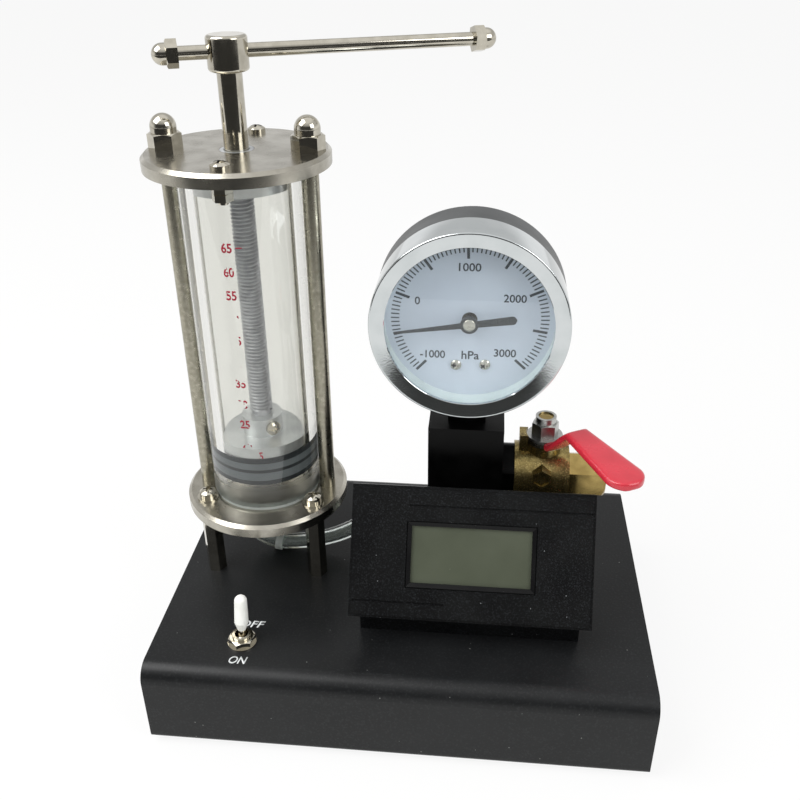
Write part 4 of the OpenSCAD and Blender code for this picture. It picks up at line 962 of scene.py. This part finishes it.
class Piston(Assembly):
    """The piston with its cups, and the screw that drives it."""

    looks = (
        (ALUMINIUM_TURNED, ["piston_disc", "piston_collar"]),
        (GREY_SEAL, ["piston_body"]),
        (NICKEL_BRIGHT, ["collar_screw", "spindle_head", "tommy_bar", "bar_nuts"]))

    bore, ring_deep = 14.5, 2.0
    rings = ((72.85, 74.5), (77.6, 78.8), (81.3, 83.3))
    # How far the rings press into the wall, and how far the cups stand back from them
    contact, cup_back, cup_gap = 0.02, 0.005, 0.02
    neck_low, neck_r = 84.3, 3.3
    thread_low, thread_high, thread_r, thread_deep = 94.0, 181.8, 3.85, 0.78
    pitch, thread_steps = 1.25, 32
    shaft_r, shaft_edge, shaft_high, tenon_r, tenon_long = 3.7, 0.4, 206.0, 2.5, 3.0

    def build_seals(self) -> None:
        """Makes the black rings and the grey cups between them, pressed on the wall."""
        root, reach = self.bore - self.ring_deep, self.bore + self.contact
        dark = [turned("seal_ring", [(root, low), (reach, low), (reach, high), (root, high)],
                       CYLINDER_AXIS, 128) for low, high in self.rings]
        self.piece(joined(dark, "seal_rings"), BLACK_SEAL, Body.PISTON, "ring_rubber", ["piston_rings"])
        cup, gap = reach - self.cup_back, self.cup_gap
        grey = [turned("seal_cup", [(root, low), (cup, low + gap), (cup, high - gap), (root, high)],
                       CYLINDER_AXIS, 128) for (_, low), (high, _) in zip(self.rings, self.rings[1:])]
        self.piece(joined(grey, "seal_cups"), GREY_SEAL, Body.PISTON, "piston_grey")

    def build_thread(self) -> Obj:
        """Winds the screw thread: a sawtooth line carried up and round by the screw modifier.

        Returns:
            A mesh object.
        """
        thread = fresh(bpy.ops.mesh.primitive_plane_add, size=MM)
        deep = self.thread_deep
        with editing():
            bpy.ops.mesh.merge(type="CENTER")
            bpy.ops.transform.translate(value=((self.thread_r - deep) * MM, 0, 0))
            # Flank, crest, flank and root: the step outwards, and the rise as a share of the pitch
            for out, rise in ((deep, 0.38), (0.0, 0.18), (-deep, 0.38), (0.0, 0.06)):
                pull(out, 0, rise * self.pitch)
        turns = int((self.thread_high - self.thread_low) / self.pitch) - 1
        add_modifier(thread, "SCREW", axis="Z", screw_offset=self.pitch * MM, iterations=turns,
                     steps=self.thread_steps, render_steps=self.thread_steps, use_merge_vertices=True,
                     merge_threshold=1e-6)
        thread.data.transform(moved(*CYLINDER_AXIS, self.thread_low + 0.3))
        return thread

    def build_spindle(self) -> None:
        """Makes the spindle: the neck and screw thread, and the bright shaft above them."""
        core = self.thread_r - self.thread_deep - 0.02
        low, high = self.thread_low, self.thread_high
        stem = turned("spindle_core", [
            (self.neck_r, self.neck_low), (self.neck_r, low - 0.1), (core, low + 0.5), (core, high + 0.2)],
            CYLINDER_AXIS)
        obj = joined([stem, self.build_thread()], "threaded_spindle")
        with editing():
            face_out()
        smooth_below(25)
        self.piece(obj, ZINC_THREAD, Body.SPINDLE, "spindle_steel", ["spindle"])
        shaft = turned("spindle_shaft", [
            (self.shaft_r - self.shaft_edge, high), (self.shaft_r, high + self.shaft_edge),
            (self.shaft_r, self.shaft_high), (self.tenon_r, self.shaft_high),
            (self.tenon_r, self.shaft_high + self.tenon_long)], CYLINDER_AXIS, 96)
        self.piece(shaft, NICKEL_BRIGHT, Body.SPINDLE, "spindle_steel")

    def build(self) -> None:
        """Makes the seals and the spindle."""
        self.build_seals()
        self.build_spindle()


class Gauge(Assembly):
    """The dial gauge on the manifold block."""

    looks = (
        (CASE_ENAMEL, ["gauge_case"]),
        (BLACK_OXIDE_AND_RECESS_SHADE, ["gauge_stem"]),
        (LENS, ["gauge_lens"]),
        (SPACER_WHITE, ["gauge_spacer"]),
        (DIAL_ENAMEL, ["gauge_dial"]),
        (NICKEL_BRIGHT, ["dial_screws"]),
        (BRASS_PAINTED_SHADE, ["gauge_movement"]))

    axis, front_y, dial_y, lift = (19.2, 135.8), -12.95, -4.15, 0.004
    # The bezel: radii of its skirt, window and spigot, its depth, then the thickness of its front,
    # the front's rounding and dip in degrees, and the small chamfer at the window
    outer, window, spigot, bezel_deep = 30.5, 25.7, 29.1, 13.9
    front_t, edge_r, dip, chamfer = 1.5, 0.5, 8.0, (0.15, 0.12)
    # The needle: its turn, place, thickness, reach either way and half widths
    needle_turn, needle_y, needle_t = 188.5, -8.15, 0.4
    tip, tail, half_tip, half_root, half_tail = 23.4, 14.5, 0.3, 0.95, 1.35
    hub = ((1.7, -1.9), (1.7, -0.1), (2.8, -0.1), (2.8, 0.45), (2.65, 0.6))
    dome, dome_z, pin = (2.0, 0.65), 0.5, ((0.3, 1.15), (0.25, 0.95))
    # The dial: degrees at its first mark and over all marks, its own small roll, and its marks
    start, sweep, roll, steps, steps_long = 225.0, 270.0, 2.5, 80, 10
    tick_r, tick, tick_long, tick_inset = 24.3, (2.6, 0.42), (4.5, 0.85), 0.1
    # The dial screws, and the arms of the dark cross painted as shade in their recesses
    screw, arm, arm_t, arm_sunk = (4.55, -15.5), (1.5, 0.42), 0.3, 0.22

    def upright(self, obj: Obj, y: float) -> Obj:
        """Stands a piece that was made round Z up on the gauge's axis, its Z forward from y."""
        obj.data.transform(moved(self.axis[0], y, self.axis[1]) @ UPRIGHT)
        return obj

    def build_bezel(self) -> None:
        """Spins the bezel: a straight skirt, a rolled outer edge and a front that dips inwards."""
        top, lip = self.bezel_deep, self.edge_r
        rings = [(self.spigot, 0.0), (self.outer, 0.0)]
        for k in range(9):
            turn = math.pi / 2 * k / 8
            rings.append((self.outer - lip * (1 - math.cos(turn)), top - lip * (1 - math.sin(turn))))
        width = self.outer - lip - (self.window + self.chamfer[0])
        dip = width * math.tan(math.radians(self.dip))
        # A pair of rings near either edge keeps the shading of the cone straight
        rings += [(self.outer - lip - width * k, top - dip * k) for k in (0.05, 0.1, 0.95, 1.0)]
        rings += [(self.window, top - dip - self.chamfer[1]), (self.window, top - self.front_t),
                  (self.spigot, top - self.front_t)]
        obj = self.upright(turned("bezel_ring", rings, segments=192, closed=False), self.front_y + top)
        self.piece(obj, CHROME, Body.ROOT, "gauge_chrome", ["gauge_bezel"])

    def blade(self) -> Obj:
        """Cuts the needle's blade from sheet: it narrows to the tip and has a round tail.

        Returns:
            A mesh object, turned to its place on the dial.
        """
        obj = fresh(bpy.ops.mesh.primitive_grid_add, x_subdivisions=48, y_subdivisions=2, size=2 * MM)
        for v in obj.data.vertices:
            share = v.co.x / MM
            if share > 0:
                along = share * self.tip
                half = self.half_root + (self.half_tip - self.half_root) * share
            else:
                along = share * self.tail
                past = max((-along - self.tail + self.half_tail) / self.half_tail, 0.0)
                half = self.half_root - (self.half_tail - self.half_root) * share
                half *= math.sqrt(max(1 - past ** 2, 0.02))
            v.co = (along * MM, v.co.y * half, 0)
        add_modifier(obj, "SOLIDIFY", thickness=self.needle_t * MM, offset=1.0)
        obj.data.transform(Matrix.Rotation(math.radians(self.needle_turn), 4, "Z"))
        return obj

    def build_needle(self) -> None:
        """Makes the needle with its hub, and the bright pin on it."""
        blade = self.blade()
        obj = self.upright(joined([blade, turned("needle_hub", self.hub)], "needle_blade"), self.needle_y)
        self.piece(obj, NEEDLE_PAINT, Body.NEEDLE, "needle_black", ["gauge_needle"])
        wide, high = self.dome
        dome = [(wide * math.cos(a), self.dome_z + high * math.sin(a))
                for a in (math.pi / 2 * k / 8 for k in range(8))]
        pin = self.upright(turned("needle_pin", [*dome, *self.pin]), self.needle_y)
        self.piece(pin, NICKEL_BRIGHT, Body.NEEDLE, "nickel_plate")

    def build_print(self) -> None:
        """Prints the dial: marks every 50, long ones every 500, five numbers and the unit."""
        words = (
            ("1000", (-0.35, 17.0), 6.7, 2.6), ("0", (-16.1, 5.8), 1.6, 2.6),
            ("2000", (13.55, 7.3), 6.9, 2.6), ("-1000", (-11.3, -12.2), 7.9, 2.65),
            ("3000", (11.3, -11.1), 6.9, 2.65), ("hPa", (0.53, -12.2), 5.5, 2.9))
        marks = [Lettering(*word).build() for word in words]
        for k in range(self.steps + 1):
            turn = math.radians(self.start + self.roll - self.sweep * k / self.steps)
            (length, width), inset = self.tick, 0.0
            if k % self.steps_long == 0:
                (length, width), inset = self.tick_long, self.tick_inset
            middle = self.tick_r - length / 2 - inset
            marks.append(bar_mark((middle * math.cos(turn), middle * math.sin(turn)), length, width, turn))
        obj = self.upright(joined(marks, "dial_print"), self.dial_y - self.lift)
        self.piece(obj, INK_DARK, Body.ROOT, "needle_black")

    def build_crosses(self) -> None:
        """Sets a dark cross on the head of each dial screw, as painted shade that stands for its recess.
        """
        front = min((v.co.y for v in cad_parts["dial_screws"].data.vertices)) / MM
        bars = []
        for side in (-1, 1):
            for turn in (20, 110):
                bar = bar_mark((0, 0), *self.arm, math.radians(turn + 30 * side), self.arm_t)
                bars.append(self.upright(bar, front + self.arm_sunk))
                bar.data.transform(moved(side * self.screw[0], 0, self.screw[1]))
        self.piece(joined(bars, "screw_recess_painted_shade"), BLACK_OXIDE_AND_RECESS_SHADE, Body.ROOT, "needle_black")

    def build(self) -> None:
        """Makes the painted shade of the screws' recesses, the bezel, the needle and the print."""
        self.build_crosses()
        self.build_bezel()
        self.build_needle()
        self.build_print()


class Manifold(Assembly):
    """The block with its barb, and the ball valve with its dipped lever."""

    looks = (
        (BLACK_OXIDE_AND_RECESS_SHADE, ["manifold_block", "valve_nipple"]),
        (NICKEL_BRIGHT, ["manifold_barb", "valve_ball"]),
        (ZINC_BRIGHT, ["lever_nut"]),
        (BRASS_CAST, ["valve_body"]),
        (BRASS_TURNED, ["valve_end", "valve_stem"]))

    stem, turn = (45.8, 7.5), -62.0
    # The lever's bare hub: height, thickness, radius and bore
    hub_z, hub_t, hub_r, hub_bore = 86.1, 1.6, 6.0, 2.6
    # The bare strip at the hub: length, thickness, overlap, and how much it is narrower
    strip_long, strip_t, strip_in, strip_narrow = 2.4, 1.1, 0.4, 3.0
    # The sleeve: from where to where it runs, its neck, its rise there, and its widths
    start, reach, neck, rise = 6.3, 50.5, (7.0, 18.5), 11.1
    root_w, tip_w, tip_edge, sleeve_t, sections = 8.0, 12.4, 1.3, 3.0, 90
    # 1 makes the section an ellipse, and less makes it squarer
    squareness = 0.45

    def build_sleeve(self) -> Obj:
        """Shapes the lever's soft sleeve: rounded sections along a bent line, out to a round tip.

        Returns:
            The sleeve, along +X.
        """
        tip_r, edge, thick = self.tip_w / 2, self.tip_edge, self.sleeve_t / 2
        sleeve = turned("lever_sleeve", [(1.0, float(k)) for k in range(self.sections + 1)], segments=48)
        for v in sleeve.data.vertices:
            turn = math.atan2(v.co.y, v.co.x)
            across, up = (math.copysign(abs(c) ** self.squareness, c)
                          for c in (math.cos(turn), math.sin(turn)))
            share = v.co.z / MM / self.sections
            # Closer sections towards the round tip
            along = self.start + (self.reach - self.start) * math.sin(math.pi / 2 * share)
            bend = min(max((along - self.neck[0]) / (self.neck[1] - self.neck[0]), 0.0), 1.0)
            # Mostly a straight slope, with a quarter of an S curve to soften its ends
            height = self.rise * (0.75 * bend + 0.25 * bend * bend * (3 - 2 * bend))
            grip = max((along - self.neck[1]) / (self.reach - tip_r - self.neck[1]), 0.0)
            half = (self.root_w + (self.tip_w - self.root_w) * min(grip, 1.0)) / 2
            half *= math.sqrt(max(1 - (max(along - self.reach + tip_r, 0) / tip_r) ** 2, 0.004))
            depth = thick * math.sqrt(max(1 - (max(along - self.reach + edge, 0) / edge) ** 2, 0.01))
            v.co = (along * MM, across * half * MM, (height + thick + up * depth) * MM)
        smooth_below(50)
        return sleeve

    def build(self) -> None:
        """Makes the lever: a bare round hub and a bent strip in a soft sleeve."""
        place = moved(*self.stem, self.hub_z) @ Matrix.Rotation(math.radians(self.turn), 4, "Z")
        sleeve = self.build_sleeve()
        sleeve.data.transform(place)
        self.piece(sleeve, VINYL_DIPPED, Body.VALVE, "lever_vinyl", ["valve_lever"])
        hub = turned("lever_hub", [(self.hub_bore, 0.0), (self.hub_r, 0.0), (self.hub_r, self.hub_t),
                                   (self.hub_bore, self.hub_t)], closed=False)
        strip = bar_mark((self.start - self.strip_in, 0), self.strip_long,
                         self.root_w - self.strip_narrow, 0.0, self.strip_t)
        hub = joined([hub, strip], "lever_hub")
        hub.data.transform(place)
        self.piece(hub, NICKEL_GROUND, Body.VALVE, "zinc_steel")


class Thermometer(Assembly):
    """The panel thermometer and its sloping housing."""

    looks = (
        (ABS_TEXTURED, ["meter_bezel", "meter_housing"]),
        (LCD_POLARISER, ["lcd_panel"]))

    origin, lean = (-17.0, -39.3, 43.9), 30.0
    # The display's window on the sloping face: left, bottom, width and height
    window = (19.9, 12.0, 39.1, 18.7)
    rim, deep, play, frame_t, sunk = 1.3, 0.77, 0.06, 0.02, 0.02

    def build(self) -> None:
        """Makes the bevelled frame round the display: a rectangle inset and pushed in."""
        left, low, wide, high = self.window
        obj = sheet(wide + 2 * self.rim - self.play, high + 2 * self.rim - self.play)
        with editing():
            bpy.ops.mesh.inset(thickness=self.rim * MM, depth=-self.deep * MM)
            bpy.ops.mesh.delete(type="ONLY_FACE")
        add_modifier(obj, "SOLIDIFY", thickness=self.frame_t * MM, offset=-1.0)
        middle = moved(left + wide / 2, low + high / 2, -self.sunk)
        lean = Matrix.Rotation(math.radians(90 - self.lean), 4, "X")
        obj.data.transform(moved(*self.origin) @ lean @ middle)
        settle(obj, "display_frame")
        self.piece(obj, ABS_SMOOTH, Body.ROOT, "black_abs")


class Switch(Assembly):
    """The toggle switch."""

    looks = (
        (PHENOLIC, ["switch_body"]),
        (NICKEL_BRIGHT, ["switch_bushing", "switch_nut", "switch_washers", "toggle_lever"]),
        (PVC_CAP, ["lever_cap"]))


def main() -> None:
    """Builds the studio, the hose and every sub-assembly."""
    logging.basicConfig(level=logging.INFO, format="%(message)s", stream=sys.stdout)
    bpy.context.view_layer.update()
    Studio().build()
    parts = (Hose(), Base(), CylinderStand(), Piston(), Gauge(), Manifold(), Thermometer(), Switch())
    for part in parts:
        part.build()
        part.dress()
        LOG.info("%s done", type(part).__name__)


if __name__ == "__main__":
    main()
